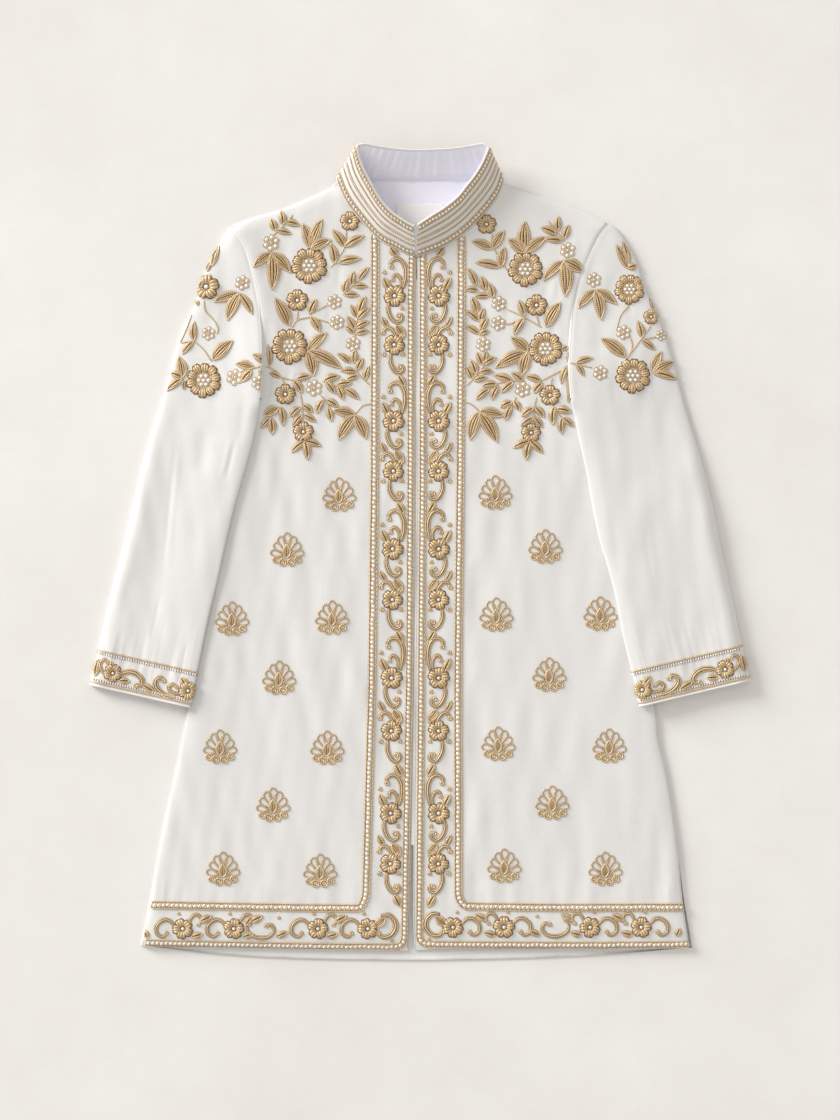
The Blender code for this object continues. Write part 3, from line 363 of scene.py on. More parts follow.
def over_body(side, points):
    """Lowest height of a sleeve's underside: on the surface, or lying over the body's side."""
    edge = x_at(CURVES[side]["side"], np.minimum(points[:, 1], ARMPIT_Y))
    beyond = side * (points[:, 0] - edge)
    above = np.maximum(0, points[:, 1] - ARMHOLE[side][-1][1])
    inward = np.clip(OVER_BODY_REACH - beyond, 0, None)
    shape = rolled(inward / SIDE_ROLL)
    top = RIM_HEIGHT + (FRONT_HEIGHT - RIM_HEIGHT) * shape + FRONT_WALL / 2 + OVER_BODY_GAP
    away = np.hypot(np.maximum(0, beyond - OVER_BODY_REACH), above)
    return top * (1 - step_up(away / OVER_BODY_RAMP))


def upper_support(side, points):
    """What lifts a sleeve's upper layer: it comes down softly from over the body to the surface."""
    edge = x_at(CURVES[side]["side"], np.minimum(points[:, 1], ARMPIT_Y))
    beyond = np.maximum(0, side * (points[:, 0] - edge) + UPPER_LAYER_START)
    above = np.maximum(0, points[:, 1] - ARMHOLE[side][-1][1] - UPPER_LAYER_START)
    share = 1 - step_up(np.hypot(beyond, above) / UPPER_LAYER_RAMP)
    return (FRONT_HEIGHT + FRONT_WALL / 2 + OVER_BODY_GAP) * share


def sleeve_heights(side, points):
    """Heights of the middle of a sleeve's lower layer, upper layer and folded edge at each point."""
    lines = CURVES[side]
    down, across = sleeve_frame(side)
    outer_a, inner_a = lines["outer"] @ down, lines["inner"] @ down
    a, b = points[:, :2] @ down, points[:, :2] @ across
    from_outer = b - np.interp(a, outer_a, lines["outer"] @ across)
    from_inner = np.interp(a, inner_a, lines["inner"] @ across) - b
    folded = step_up((a - inner_a[0]) / 24.0)
    top_roll = rolled(from_outer / SLEEVE_ROLL) * (1 - folded * (1 - rolled(from_inner / SLEEVE_ROLL)))
    low_roll = rolled(from_outer / SLEEVE_UNDER_ROLL)
    low_roll = low_roll * (1 - folded * (1 - rolled(from_inner / SLEEVE_UNDER_ROLL)))
    low = over_body(side, points) + SLEEVE_WALL / 2
    apart = SLEEVE_WALL + SLEEVE_HOLLOW - 1.2
    edge = low + apart * 0.34
    armhole = distance_to(points, lines["armhole"])
    shape = crease_relief(points, CREASES[side][1]) + SLEEVE_UNEVEN * unevenness(points, 7 + side)
    upper = np.maximum(upper_support(side, points) + SLEEVE_WALL / 2 + apart, low + SLEEVE_WALL * 1.3)
    outward = np.clip(from_inner / np.maximum(from_inner + from_outer, 1.0), 0, 1)
    camber = SLEEVE_CAMBER[side] * outward * step_up((ARMPIT_Y + 30 - points[:, 1]) / 170)
    upper = upper + camber + shape * top_roll * step_up(armhole / 10)
    upper = upper - ARMHOLE_DIP * (1 - step_up(armhole / ARMHOLE_DIP_WIDTH))
    upper = upper + ARMHOLE_RIDGE[side] * (1 - step_up(armhole / ARMHOLE_RIDGE_WIDTH))
    return edge + (low - edge) * low_roll, edge + (upper - edge) * top_roll, edge


def grid_normals(grid, closed=False):
    """Normals of a grid of points, pointing up or out of a tube."""
    if closed:
        wide = np.concatenate([grid[:, -1:], grid, grid[:, :1]], axis=1)
        across = wide[:, 2:] - wide[:, :-2]
    else:
        across = np.gradient(grid, axis=1)
    normal = np.cross(across, np.gradient(grid, axis=0))
    return normal / np.maximum(np.linalg.norm(normal, axis=2), 1e-9)[..., None]


def quads(rows, columns, start=0, closed=False):
    """Faces between the points of a grid."""
    wide = columns if closed else columns - 1
    i, j = np.meshgrid(np.arange(rows - 1), np.arange(wide), indexing="ij")
    a = start + i * columns + j
    b = start + i * columns + (j + 1) % columns
    return np.stack([a, b, b + columns, a + columns], axis=2).reshape(-1, 4)


def border_of(rows, columns):
    """Numbers of a grid's border points, in order round it."""
    first = np.arange(columns)
    right = np.arange(1, rows) * columns + columns - 1
    last = (rows - 1) * columns + np.arange(columns - 2, -1, -1)
    left = np.arange(rows - 2, 0, -1) * columns
    return np.concatenate([first, right, last, left])


def make_piece(name, points, faces, materials, thread=None, finishes=None):
    """An object from points in millimetres. thread holds each point's strand turn and painted light share."""
    mesh = bpy.data.meshes.new(name)
    place = np.asarray(points, float) * MM
    place[:, 1] -= MIDDLE_Y * MM
    mesh.from_pydata(place.tolist(), [], [list(map(int, face)) for face in faces])
    mesh.update()
    mesh.shade_smooth()
    if thread is not None:
        layer = mesh.attributes.new("thread", "FLOAT_VECTOR", "POINT")
        layer.data.foreach_set("vector", np.asarray(thread, np.float32).ravel())
    for material in materials:
        mesh.materials.append(material)
    if finishes is not None:
        mesh.polygons.foreach_set("material_index", np.asarray(finishes, np.int32))
    item = bpy.data.objects.new(name, mesh)
    bpy.context.scene.collection.objects.link(item)
    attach(item, "root")
    return item


def ease(count, share=0.5):
    """Shares from 0 to 1 that lie closer together at both ends."""
    even = np.linspace(0, 1, count)
    return share * (1 - np.cos(np.pi * even)) / 2 + (1 - share) * even


def outwards_of(loop):
    """Directions in plan that point out of a closed loop."""
    run = np.roll(loop, -1, axis=0) - np.roll(loop, 1, axis=0)
    out = np.column_stack([run[:, 1], -run[:, 0]])
    area = (loop[:, 0] * np.roll(loop[:, 1], -1) - loop[:, 1] * np.roll(loop[:, 0], -1)).sum()
    return out * np.sign(area) / np.maximum(np.linalg.norm(out, axis=1), 1e-9)[:, None]


RIM_TURNS = np.radians([55, 25, 0, -25, -55, -90])
UP = np.array([0.0, 0.0, 1.0])
DOWN = Vector((0, 0, -1))
ABOVE_ALL = 200.0


def turned_rim(middle, out, up, half_wall):
    """Loops of points that carry a wall's edge round from its upper to its lower face."""
    return [middle + out * half_wall * math.cos(a) + up * half_wall * math.sin(a) for a in RIM_TURNS]


def lying_rim(edge, height, out, half_wall):
    """The turned rim of a piece that lies flat. edge and out are in plan, height is its wall's middle."""
    middle = np.column_stack([edge, np.broadcast_to(height, len(edge))])
    return turned_rim(middle, np.column_stack([out, np.zeros(len(out))]), UP, half_wall)


def panel_grid(plan, half_wall):
    """A panel's points and faces from rows in plan, with its border drawn in to leave room for the rim."""
    rows, columns = plan.shape[:2]
    flat = plan.reshape(-1, 2)
    border = border_of(rows, columns)
    out = outwards_of(flat[border])
    flat[border] -= out * half_wall * 0.8
    return flat, quads(rows, columns).tolist(), border, out


def body_edge(side, rows_y):
    """x of a panel's outer edge at each row, and the rest of that edge above them, round to the neck."""
    lines = CURVES[side]
    armhole = lines["armhole"][::-1] + [-side * SEAM_GAP * 1.5, 0]
    above = armhole[armhole[:, 1] > rows_y[-1] + 0.5]
    return x_at(np.vstack([lines["side"], armhole]), rows_y), np.vstack([above, lines["shoulder"]])


def join_loops(points, faces, loops, closed=True):
    """Faces from the last given loop's numbers to new loops of points. Returns the last numbers."""
    numbers, new = loops
    for loop in new:
        first = len(points)
        points.extend(loop.tolist())
        fresh = np.arange(first, first + len(loop))
        count = len(loop) if closed else len(loop) - 1
        for k in range(count):
            n = (k + 1) % len(loop)
            faces.append((numbers[k], numbers[n], fresh[n], fresh[k]))
        numbers = fresh
    return numbers


def tree_of(points, faces):
    """A surface that other pieces can be laid on."""
    return BVHTree.FromPolygons([Vector(p) for p in points], [tuple(map(int, f)) for f in faces])


def build_front(side, cloth):
    """A front panel: one shell with its edges turned under. Returns the piece and its laying surface."""
    lines = CURVES[side]
    half = FRONT_WALL / 2
    hem_in, hem_out = HEM_ENDS[side]
    straight = np.concatenate([[0.0, 1.2, 2.6, 4.4, 6.8], np.arange(9.6, NECK_FOOT_Y - hem_out, 3.0)])
    outer_y = hem_out + straight
    outer_x, above = body_edge(side, outer_y)
    lean = (hem_in - hem_out) * (1 - step_up(straight / 85.0))
    outer = np.column_stack([outer_x, outer_y])
    inner = np.column_stack([x_at(lines["centre"], outer_y + lean), outer_y + lean])
    neck = lines["neck"] + [0, -1.25]
    neck[0, 0] = inner[-1, 0]
    neck = np.vstack([inner[-1], neck])
    upper_rows = np.linspace(0, 1, 58)[1:]
    outer = np.vstack([outer, along(np.vstack([outer[-1], above]), upper_rows)])
    inner = np.vstack([inner, along(neck, upper_rows * 0.985)])
    shares = ease(102)
    plan = inner[:, None] + (outer - inner)[:, None] * shares[None, :, None]
    flat, faces, border, out = panel_grid(plan, half)
    heights = front_middle(side, flat)
    points = np.column_stack([flat, heights + half]).tolist()
    tree = tree_of(points, faces)
    loops = lying_rim(flat[border], heights[border], out, half)
    turn = np.minimum(TURNED_IN, 0.3 + 0.3 * np.linalg.norm(flat[border] - inner[-1], axis=1))
    inside = flat[border] - out * turn[:, None]
    loops.append(np.column_stack([inside, front_middle(side, inside) - half]))
    join_loops(points, faces, (border, loops))
    return make_piece("front_cloth_" + WORDS[side], points, faces, [cloth]), tree


def build_sleeve(side, cloth):
    """A flattened tube of cloth, with its two open ends turned in."""
    lines = CURVES[side]
    half = SLEEVE_WALL / 2
    over, under = ease(84, 0.6), ease(26, 0.6)
    hole_edge = lines["armhole"] + [side * SEAM_GAP * 1.5, 0]
    shares = ease(190, 0.2)
    outer, inner = along(lines["outer"], shares), along(lines["inner"], shares)
    outer[0], inner[0] = hole_edge[0], hole_edge[-1]
    rings = []
    for share, a, b in zip(shares, outer, inner):
        bow = 1 - step_up(share / 0.4)

        def across(places):
            hole = along(hole_edge, places)
            straight = hole_edge[0] + (hole_edge[-1] - hole_edge[0]) * places[:, None]
            return a + (b - a) * places[:, None] + (hole - straight) * bow

        top_line, low_line = across(over), across(under)[-2:0:-1]
        _, high, edge = sleeve_heights(side, top_line)
        high[0], high[-1] = edge[0], edge[-1]
        low = sleeve_heights(side, low_line)[0]
        rings.append(np.vstack([np.column_stack([top_line, high]), np.column_stack([low_line, low])]))
    grid = np.array(rings)
    normals = grid_normals(grid, closed=True)
    facing = np.sign(((grid - grid.mean(axis=1, keepdims=True)) * normals).sum(axis=(1, 2)))
    normals *= facing[:, None, None]
    skin = grid + normals * half
    count, around = skin.shape[:2]
    points = skin.reshape(-1, 3).tolist()
    faces = quads(count, around, closed=True).tolist()
    down, _ = sleeve_frame(side)
    turned = 5
    for ring, within, way in ((0, turned, -down), (count - 1, count - 1 - turned, down)):
        numbers = ring * around + np.arange(around)
        out = np.tile([*way, 0.0], (around, 1))
        middle = grid[ring] - out * half * 0.8
        loops = turned_rim(middle, out, normals[ring], half)
        loops.append(grid[within] - normals[within] * half * 0.9)
        join_loops(points, faces, (numbers, loops))
    tree = tree_of(skin[:, :len(over)].reshape(-1, 3), quads(count, len(over)))
    return make_piece("sleeve_cloth_" + WORDS[side], points, faces, [cloth]), tree


def build_back(cloth):
    """The back panel: it lies flat on the surface and shows below the fronts' hem."""
    half = BACK_WALL / 2
    hem_y, spacing = -466.0, 9.0
    rows_y = np.concatenate([[hem_y, hem_y + 3], np.arange(hem_y + 8, NECK_FOOT_Y, spacing)])
    sides = {}
    for side in (LEFT, RIGHT):
        x, above = body_edge(side, rows_y)
        peek = side * BACK_PEEK[side] * (1 - step_up((rows_y - hem_y) / 150.0))
        low = np.column_stack([x + peek, rows_y])
        over = np.vstack([low[-1], above, [(side * BACK_NECK_HALF, BACK_NECK_Y)]])
        sides[side] = np.vstack([low, along(over, np.linspace(0, 1, 24)[1:])])
    shares = ease(90, 0.4)
    plan = sides[LEFT][:, None] + (sides[RIGHT] - sides[LEFT])[:, None] * shares[None, :, None]
    hem = smooth_curve(BACK_HEM)
    for row, keep in ((0, 1.0), (1, 0.75), (2, 0.35)):
        plan[row, :, 1] += (y_at(hem, plan[row, :, 0]) - hem_y) * keep
    flat, upper_faces, border, out = panel_grid(plan, half)
    hem_fold = 0.12 * np.sin(flat[:, 0] / 11.0) * np.sin(flat[:, 0] / 37.0)
    points = np.column_stack([flat, BACK_WALL + hem_fold]).tolist()
    faces = list(upper_faces)
    last = join_loops(points, faces, (border, lying_rim(flat[border], half, out, half)))
    rim = set(border.tolist())
    inside = [k for k in range(len(flat)) if k not in rim]
    first = len(points)
    points.extend([(x, y, 0.0) for x, y in flat[inside]])
    number = dict(zip(inside, range(first, first + len(inside))))
    number.update(zip(border.tolist(), last.tolist()))
    faces += [tuple(number[v] for v in face) for face in upper_faces]
    return make_piece("back_cloth", points, faces, [cloth])


def collar_lines(front_count, back_count):
    """Seam and top points round the collar, from the left centre front to the right one."""
    def spread(heights):
        front, side, back = heights
        going = np.linspace(front, side, front_count)
        behind = side + (back - side) * np.sin(np.pi * np.linspace(0, 1, back_count)) ** 0.6
        return np.concatenate([going, behind[1:-1], going[::-1]])

    shares = np.linspace(0, 1, front_count)
    back_shares = np.linspace(0, 1, back_count)[1:-1]
    seam = np.vstack([along(CURVES[LEFT]["neck"], shares), along(smooth_curve(COLLAR_BACK_SEAM), back_shares),
                      along(CURVES[RIGHT]["neck"], shares)[::-1]])
    top = np.vstack([along(CURVES[LEFT]["collar_top"], shares),
                     along(smooth_curve(COLLAR_BACK_TOP), back_shares),
                     along(CURVES[RIGHT]["collar_top"], shares)[::-1]])
    return (np.column_stack([seam, spread(COLLAR_SEAM_HEIGHTS)]),
            np.column_stack([top, spread(COLLAR_TOP_HEIGHTS)]))


COLLAR_BOW = 1.0
COLLAR_MIDDLE = np.array([0.0, 420.0])
LINING_COUNTS = (100, 130)


def collar_middle(shares, front_count=90, back_count=90):
    """Rows of points of the collar's middle surface and their outward directions."""
    seam, top = collar_lines(front_count, back_count)
    grid = seam + (top - seam) * np.asarray(shares)[:, None, None]
    normals = grid_normals(grid)
    normals *= np.sign(((grid[..., :2] - COLLAR_MIDDLE) * normals[..., :2]).sum())
    for _ in range(6):
        normals[:, 1:-1] = (normals[:, :-2] + 2 * normals[:, 1:-1] + normals[:, 2:]) / 4
    normals /= np.linalg.norm(normals, axis=2)[..., None]
    bow = COLLAR_BOW * np.sin(np.pi * np.asarray(shares))
    return grid + normals * bow[:, None, None], normals


def build_collar(cloth):
    """The stand collar: a wall with round edges, open at the centre front."""
    rows, rim = 24, len(RIM_TURNS) - 1
    grid, normals = collar_middle(np.linspace(0, 1, rows))
    half = COLLAR_WALL / 2
    up = (grid[-1] - grid[-2]) / np.linalg.norm(grid[-1] - grid[-2], axis=1)[:, None]
    section = list(grid + normals * half)
    section += [grid[-1] + up * half * math.cos(a) + normals[-1] * half * math.sin(a) for a in RIM_TURNS[:-1]]
    section += list((grid - normals * half)[::-1])
    section += [grid[0] - up * half * math.cos(a) - normals[0] * half * math.sin(a) for a in RIM_TURNS[:-1]]
    sheet = np.array(section).transpose(1, 0, 2)
    stations, around = sheet.shape[:2]
    points = sheet.reshape(-1, 3).tolist()
    faces = quads(stations, around, closed=True).tolist()
    for station, inward in ((0, 1), (stations - 1, -1)):
        ring = sheet[station]
        neighbour = sheet[station + inward]
        out = (ring - neighbour).mean(axis=0)
        out = out / np.linalg.norm(out)
        heart = (ring[:rows] + ring[rows + rim:2 * rows + rim][::-1]) / 2
        numbers = station * around + np.arange(around)
        nearest = heart[np.abs(ring[:, None] - heart[None]).sum(2).argmin(1)]
        caps = [nearest + (ring - nearest) * s + out * half * t
                for s, t in ((0.8, 0.5), (0.4, 0.8), (0.05, 0.9))]
        join_loops(points, faces, (numbers, caps))
    return make_piece("collar_cloth", points, faces, [cloth])


def build_collar_lining(lining):
    """The pale lining inside the collar, with the soft upright ripples that show at the back."""
    shares = np.linspace(0.04, 0.985, 26)
    grid, normals = collar_middle(shares, *LINING_COUNTS)
    place = lengths_along(grid[0][:, :2])
    chance = np.random.default_rng(5)
    ripple = np.zeros(len(place))
    for _ in range(10):
        ripple += np.sin(place * 2 * np.pi / chance.uniform(9, 46) + chance.uniform(0, 6.3))
    lean = 0.55 * ripple / 3 + 0.10 * np.sin(place / 2.1)
    hold = np.sin(np.pi * np.clip(shares, 0.05, 1)) ** 0.5
    depth = COLLAR_WALL / 2 + 0.5 + 0.8 * (1 + lean[None, :]) * (0.35 + 0.65 * hold[:, None])
    skin = grid - normals * depth[..., None]
    skin = skin[:, 1:-1]
    rows, columns = skin.shape[:2]
    points = skin.reshape(-1, 3).tolist()
    faces = quads(rows, columns).tolist()
    border = border_of(rows, columns)
    behind = (skin + normals[:, 1:-1] * 0.45).reshape(-1, 3)[border]
    join_loops(points, faces, (border, [behind]))
    return make_piece("collar_lining_cloth", points, faces, [lining])


def flat_shell(name, corners, low, high, material, relief):
    """A thin flat piece over an outline in plan, with a round edge and a soft upper face."""
    outline = along(np.vstack([corners, corners[:1]]), np.linspace(0, 1, 121))[:-1]
    middle = outline.mean(axis=0)
    half = (high - low) / 2
    out = outwards_of(outline)
    rings = [middle + (outline - middle) * share for share in np.linspace(0.02, 0.99, 34)]
    rings = [np.column_stack([ring, high + relief(ring)]) for ring in rings]
    rings += lying_rim(outline - out * half * 0.5, low + half, out, half)
    points = [(middle[0], middle[1], high)] + np.vstack(rings).tolist()
    count = len(outline)
    faces = [(0, 1 + (k + 1) % count, 1 + k) for k in range(count)]
    faces += quads(len(rings), count, 1, closed=True).tolist()
    return make_piece(name, points, faces, [material])


def build_neck_lining(lining, label_cloth):
    """The lining inside the back of the neck, and the bare label on it."""
    low = BACK_WALL + SEAM_GAP
    high = low + 1.0
    chance = np.random.default_rng(9)
    waves = [(chance.uniform(14, 60), chance.uniform(30, 90), chance.uniform(0, 6.3)) for _ in range(8)]

    def soft(points):
        total = sum(np.sin(points[:, 0] * 6.28 / a + points[:, 1] * 6.28 / b + c) for a, b, c in waves)
        return 0.06 * total

    corners = np.array(BACK_LINING)
    lining_piece = flat_shell("back_lining_cloth", corners, low, high, lining, soft)
    top, bottom, wide = LABEL_TOP, LABEL_TOP - LABEL_LENGTH, LABEL_HALF_WIDTH
    box = np.array([(-wide, top), (-wide, bottom), (wide, bottom), (wide, top)])
    label_low = high + SEAM_GAP
    label = flat_shell("label_cloth", box, label_low, label_low + 1.0, label_cloth,
                       lambda points: 0.05 * np.sin(points[:, 0] / 6.0))
    return lining_piece, label


def height_on(tree, places):
    """Height of a laying surface under each place, or at its nearest point beside it."""
    found = []
    for x, y in places:
        spot = tree.ray_cast(Vector((x, y, ABOVE_ALL)), DOWN)[0]
        if spot is None:
            spot = tree.find_nearest(Vector((x, y, 6.0)))[0]
        found.append(spot.z)
    return np.array(found)


def seam_strip(name, line, tree_a, tree_b, half_width, sink, cloth):
    """A narrow strip of cloth low in the groove between two edges that are sewn or laid side by side."""
    aside = beside(line)[1]
    reach = half_width + 1.0
    high_a, high_b = height_on(tree_a, line + aside * reach), height_on(tree_b, line - aside * reach)
    rows = []
    for offset in np.linspace(-1, 1, 5):
        mixed = high_b + (high_a - high_b) * (offset + 1) / 2
        low = mixed - sink - 0.25 * offset ** 2
        rows.append(np.column_stack([line + aside * offset * half_width, low]))
    points = np.vstack(rows)
    return make_piece(name, points.tolist(), quads(len(rows), len(line)).tolist(), [cloth])


def build_armhole_seam(side, cloth, front_tree, sleeve_tree):
    """The sunk seam between a front and its sleeve."""
    line = along(CURVES[side]["armhole"], np.linspace(0.004, 0.99, 140))
    body_is_left = side * (line[-1, 1] - line[0, 1]) > 0
    trees = (front_tree, sleeve_tree) if body_is_left else (sleeve_tree, front_tree)
    return seam_strip("armhole_seam_" + WORDS[side], line, *trees, 1.7, 0.3, cloth)


PLACKET_FOLD_ENDS = (-345.0, 322.0)


def build_placket_fold(cloth, left_tree, right_tree):
    """The turned-in edge that shows as a pale line between the two fronts."""
    y = np.linspace(*PLACKET_FOLD_ENDS, 160)
    x = (x_at(CURVES[LEFT]["centre"], y) + x_at(CURVES[RIGHT]["centre"], y)) / 2
    return seam_strip("placket_fold", np.column_stack([x, y]), left_tree, right_tree, 1.8, 0.2, cloth)


def build_collar_end(cloth):
    """The right collar end's turned edge, which runs on a little under the left end."""
    shares = np.linspace(0.03, 0.93, 20)
    grid, normals = collar_middle(shares)
    left = grid[:, 0] + normals[:, 0] * COLLAR_WALL * 0.2
    right = grid[:, -1] + normals[:, -1] * COLLAR_WALL * 0.35
    rows = [left + (right - left) * u + [0, 0, -0.3 * math.sin(math.pi * min(max(u, 0), 1))]
            for u in np.linspace(-0.25, 1.2, 7)]
    points = np.vstack(rows)
    return make_piece("collar_end", points.tolist(), quads(len(rows), len(shares)).tolist(), [cloth])


def build_neck_seam(lining):
    """The seam between the neck's lining and the collar's, in the same cloth as both."""
    grid, normals = collar_middle(np.array([0.05, 0.10]), *LINING_COUNTS)
    back = slice(LINING_COUNTS[0] + 1, sum(LINING_COUNTS) - 1)
    skin = grid - normals * (COLLAR_WALL / 2 + 1.6)
    high = skin[1, back]
    mid = skin[0, back]
    low = mid + [0, -2.2, 0]
    low[:, 2] = BACK_WALL + 1.3
    foot = low + [0, -5.0, -0.25]
    rows = [high, mid, (mid + low) / 2 + [0, -0.3, -0.4], low, foot]
    return make_piece("neck_seam", np.vstack(rows).tolist(), quads(len(rows), len(mid)).tolist(), [lining])


def new_group(name, inputs, outputs):
    """A shader node group with named sockets. Returns the group, its input node and its output node."""
    group = bpy.data.node_groups.new(name, "ShaderNodeTree")
    for label, kind, value in inputs:
        socket = group.interface.new_socket(label, in_out="INPUT", socket_type="NodeSocket" + kind)
        socket.default_value = value
    for label, kind in outputs:
        group.interface.new_socket(label, in_out="OUTPUT", socket_type="NodeSocket" + kind)
    return group, group.nodes.new("NodeGroupInput"), group.nodes.new("NodeGroupOutput")


def put(tree, kind, inputs=(), **settings):
    """A node with its settings. inputs give a socket's name or number a value or another socket."""
    made = tree.nodes.new(kind)
    for key, value in settings.items():
        setattr(made, key, value)
    for name, value in dict(inputs).items():
        if isinstance(value, bpy.types.NodeSocket):
            tree.links.new(value, made.inputs[name])
        else:
            made.inputs[name].default_value = value
    return made


def maths(tree, operation, first, second=0.0, third=0.0):
    """The output of a math node on values or sockets."""
    return put(tree, "ShaderNodeMath", {0: first, 1: second, 2: third}, operation=operation).outputs[0]


def ramp(tree, factor, stops):
    """A colour ramp. Columns of stops: place, colour."""
    made = put(tree, "ShaderNodeValToRGB", {0: factor})
    elements = made.color_ramp.elements
    while len(elements) < len(stops):
        elements.new(0.5)
    for element, (place, colour) in zip(elements, stops):
        element.position = place
        element.color = (*colour, 1.0)
    return made.outputs[0]


def weave_group():
    """Plain woven cloth: over and under threads, with thick and thin places in them."""
    group, given, result = new_group(
        "plain_weave", [("Pitch", "Float", 0.0005), ("Slub", "Float", 0.5)],
        [("Height", "Float"), ("Tint", "Float")])
    where = put(group, "ShaderNodeTexCoord").outputs["Object"]
    wander = put(group, "ShaderNodeTexNoise", {"Vector": where, "Scale": 90.0, "Detail": 1.0})
    axes = put(group, "ShaderNodeSeparateXYZ", {0: where})
    strayed = maths(group, "MULTIPLY", wander.outputs[0], 0.0012)
    threads = []
    for axis in (0, 1):
        place = maths(group, "ADD", axes.outputs[axis], strayed)
        turn = maths(group, "MULTIPLY", maths(group, "DIVIDE", place, given.outputs["Pitch"]), math.pi)
        threads.append(maths(group, "SINE", turn))
    crossing = maths(group, "MULTIPLY", threads[0], threads[1])
    streaks = []
    for stretch in ((900.0, 60.0, 60.0), (60.0, 900.0, 60.0)):
        scaled = put(group, "ShaderNodeVectorMath", {0: where, 1: stretch}, operation="MULTIPLY").outputs[0]
        streak = put(group, "ShaderNodeTexNoise", {"Vector": scaled, "Scale": 1.0, "Detail": 2.0})
        streaks.append(streak.outputs[0])
    slub = maths(group, "MULTIPLY", maths(group, "ADD", streaks[0], streaks[1]), 0.5)
    uneven = maths(group, "MULTIPLY", slub, given.outputs["Slub"])
    height = maths(group, "MULTIPLY_ADD", crossing, 0.35, uneven)
    group.links.new(height, result.inputs["Height"])
    group.links.new(slub, result.inputs["Tint"])
    return group


def strand_group():
    """Twisted thread: reads each stitch's strand turn and painted light share from the thread attribute. Its
    Light is painted light and shade: that share, darker in the grooves of the twist, with a random patchy
    tone.
    """
    group, given, result = new_group(
        "twisted_thread", [("Twist depth", "Float", 0.5)],
        [("Light", "Float"), ("Height", "Float"), ("Wear", "Float")])
    thread = put(group, "ShaderNodeAttribute", attribute_name="thread").outputs["Vector"]
    parts = put(group, "ShaderNodeSeparateXYZ", {0: thread})
    # Painted shade: the twist's stripes darken its grooves; they also give the bump its height.
    wave = maths(group, "SINE", maths(group, "MULTIPLY", parts.outputs[0], 2 * math.pi))
    stripe = maths(group, "MULTIPLY_ADD", wave, 0.5, 0.5)
    depth = given.outputs["Twist depth"]
    shown = maths(group, "ADD", maths(group, "MULTIPLY", stripe, depth), maths(group, "SUBTRACT", 1.0, depth))
    where = put(group, "ShaderNodeTexCoord").outputs["Object"]
    patch = put(group, "ShaderNodeTexNoise", {"Vector": where, "Scale": 160.0, "Detail": 2.0}).outputs[0]
    # Painted light and shade: each point's painted light share times the twist's painted shade.
    light = maths(group, "MULTIPLY", parts.outputs[2], shown)
    light = maths(group, "MULTIPLY", light, maths(group, "MULTIPLY_ADD", patch, 0.5, 0.72))
    group.links.new(light, result.inputs["Light"])
    group.links.new(stripe, result.inputs["Height"])
    group.links.new(patch, result.inputs["Wear"])
    return group


def new_material(name, roughness, **sockets):
    """A material, its node tree and its shader, with constant values on the shader's own sockets."""
    material = bpy.data.materials.new(name)
    material.use_nodes = True
    shader = material.node_tree.nodes["Principled BSDF"]
    shader.inputs["Roughness"].default_value = roughness
    for label, value in sockets.items():
        shader.inputs[label.replace("_", " ")].default_value = value
    return material, material.node_tree, shader


def raise_by(tree, shader, height, distance, strength):
    """Bump on a shader, from a height that changes over the surface."""
    bump = put(tree, "ShaderNodeBump", {"Height": height, "Distance": distance, "Strength": strength})
    tree.links.new(bump.outputs[0], shader.inputs["Normal"])


def cloth_material(name, light, dark, pitch, weave, roughness=0.6, sheen=0.2, depth=0.00012, slub=0.5):
    """Woven cloth whose colour, roughness and height follow its threads."""
    material, tree, shader = new_material(name, roughness, Sheen_Weight=sheen, Sheen_Roughness=0.4)
    threads = put(tree, "ShaderNodeGroup", node_tree=weave)
    threads.inputs["Pitch"].default_value = pitch
    threads.inputs["Slub"].default_value = slub
    where = put(tree, "ShaderNodeTexCoord").outputs["Object"]
    broad = put(tree, "ShaderNodeTexNoise", {"Vector": where, "Scale": 14.0, "Detail": 3.0}).outputs[0]
    mixed = maths(tree, "MULTIPLY_ADD", threads.outputs["Tint"], 0.8, maths(tree, "MULTIPLY", broad, 0.35))
    colour = ramp(tree, mixed, [(0.25, dark), (0.62, light)])
    tree.links.new(colour, shader.inputs["Base Color"])
    rough = maths(tree, "MULTIPLY_ADD", threads.outputs["Tint"], 0.16, roughness - 0.08)
    tree.links.new(rough, shader.inputs["Roughness"])
    raise_by(tree, shader, threads.outputs["Height"], depth, 0.8)
    return material


def thread_material(name, stops, strands, roughness=0.4, metallic=0.25):
    """Embroidery thread whose colour carries painted shade where strands meet the cloth or each other and a
    painted highlight on their tops.
    """
    material, tree, shader = new_material(name, roughness, Metallic=metallic)
    turns = put(tree, "ShaderNodeGroup", node_tree=strands)
    # The colour ramp turns the painted light share into colour, from painted shade to painted highlight.
    tree.links.new(ramp(tree, turns.outputs["Light"], stops), shader.inputs["Base Color"])
    rough = maths(tree, "MULTIPLY_ADD", turns.outputs["Wear"], 0.25, roughness - 0.12)
    tree.links.new(rough, shader.inputs["Roughness"])
    raise_by(tree, shader, turns.outputs["Height"], 0.00015, 0.6)
    return material


def bead_material():
    """Small off-white beads, each a little different from the next."""
    material, tree, shader = new_material("pearl_beads", 0.22, Coat_Weight=0.4, Coat_Roughness=0.1)
    where = put(tree, "ShaderNodeTexCoord").outputs["Object"]
    patch = put(tree, "ShaderNodeTexNoise", {"Vector": where, "Scale": 260.0}).outputs[0]
    colour = ramp(tree, patch, [(0.3, (0.80, 0.76, 0.70)), (0.6, (0.95, 0.93, 0.90))])
    tree.links.new(colour, shader.inputs["Base Color"])
    return material


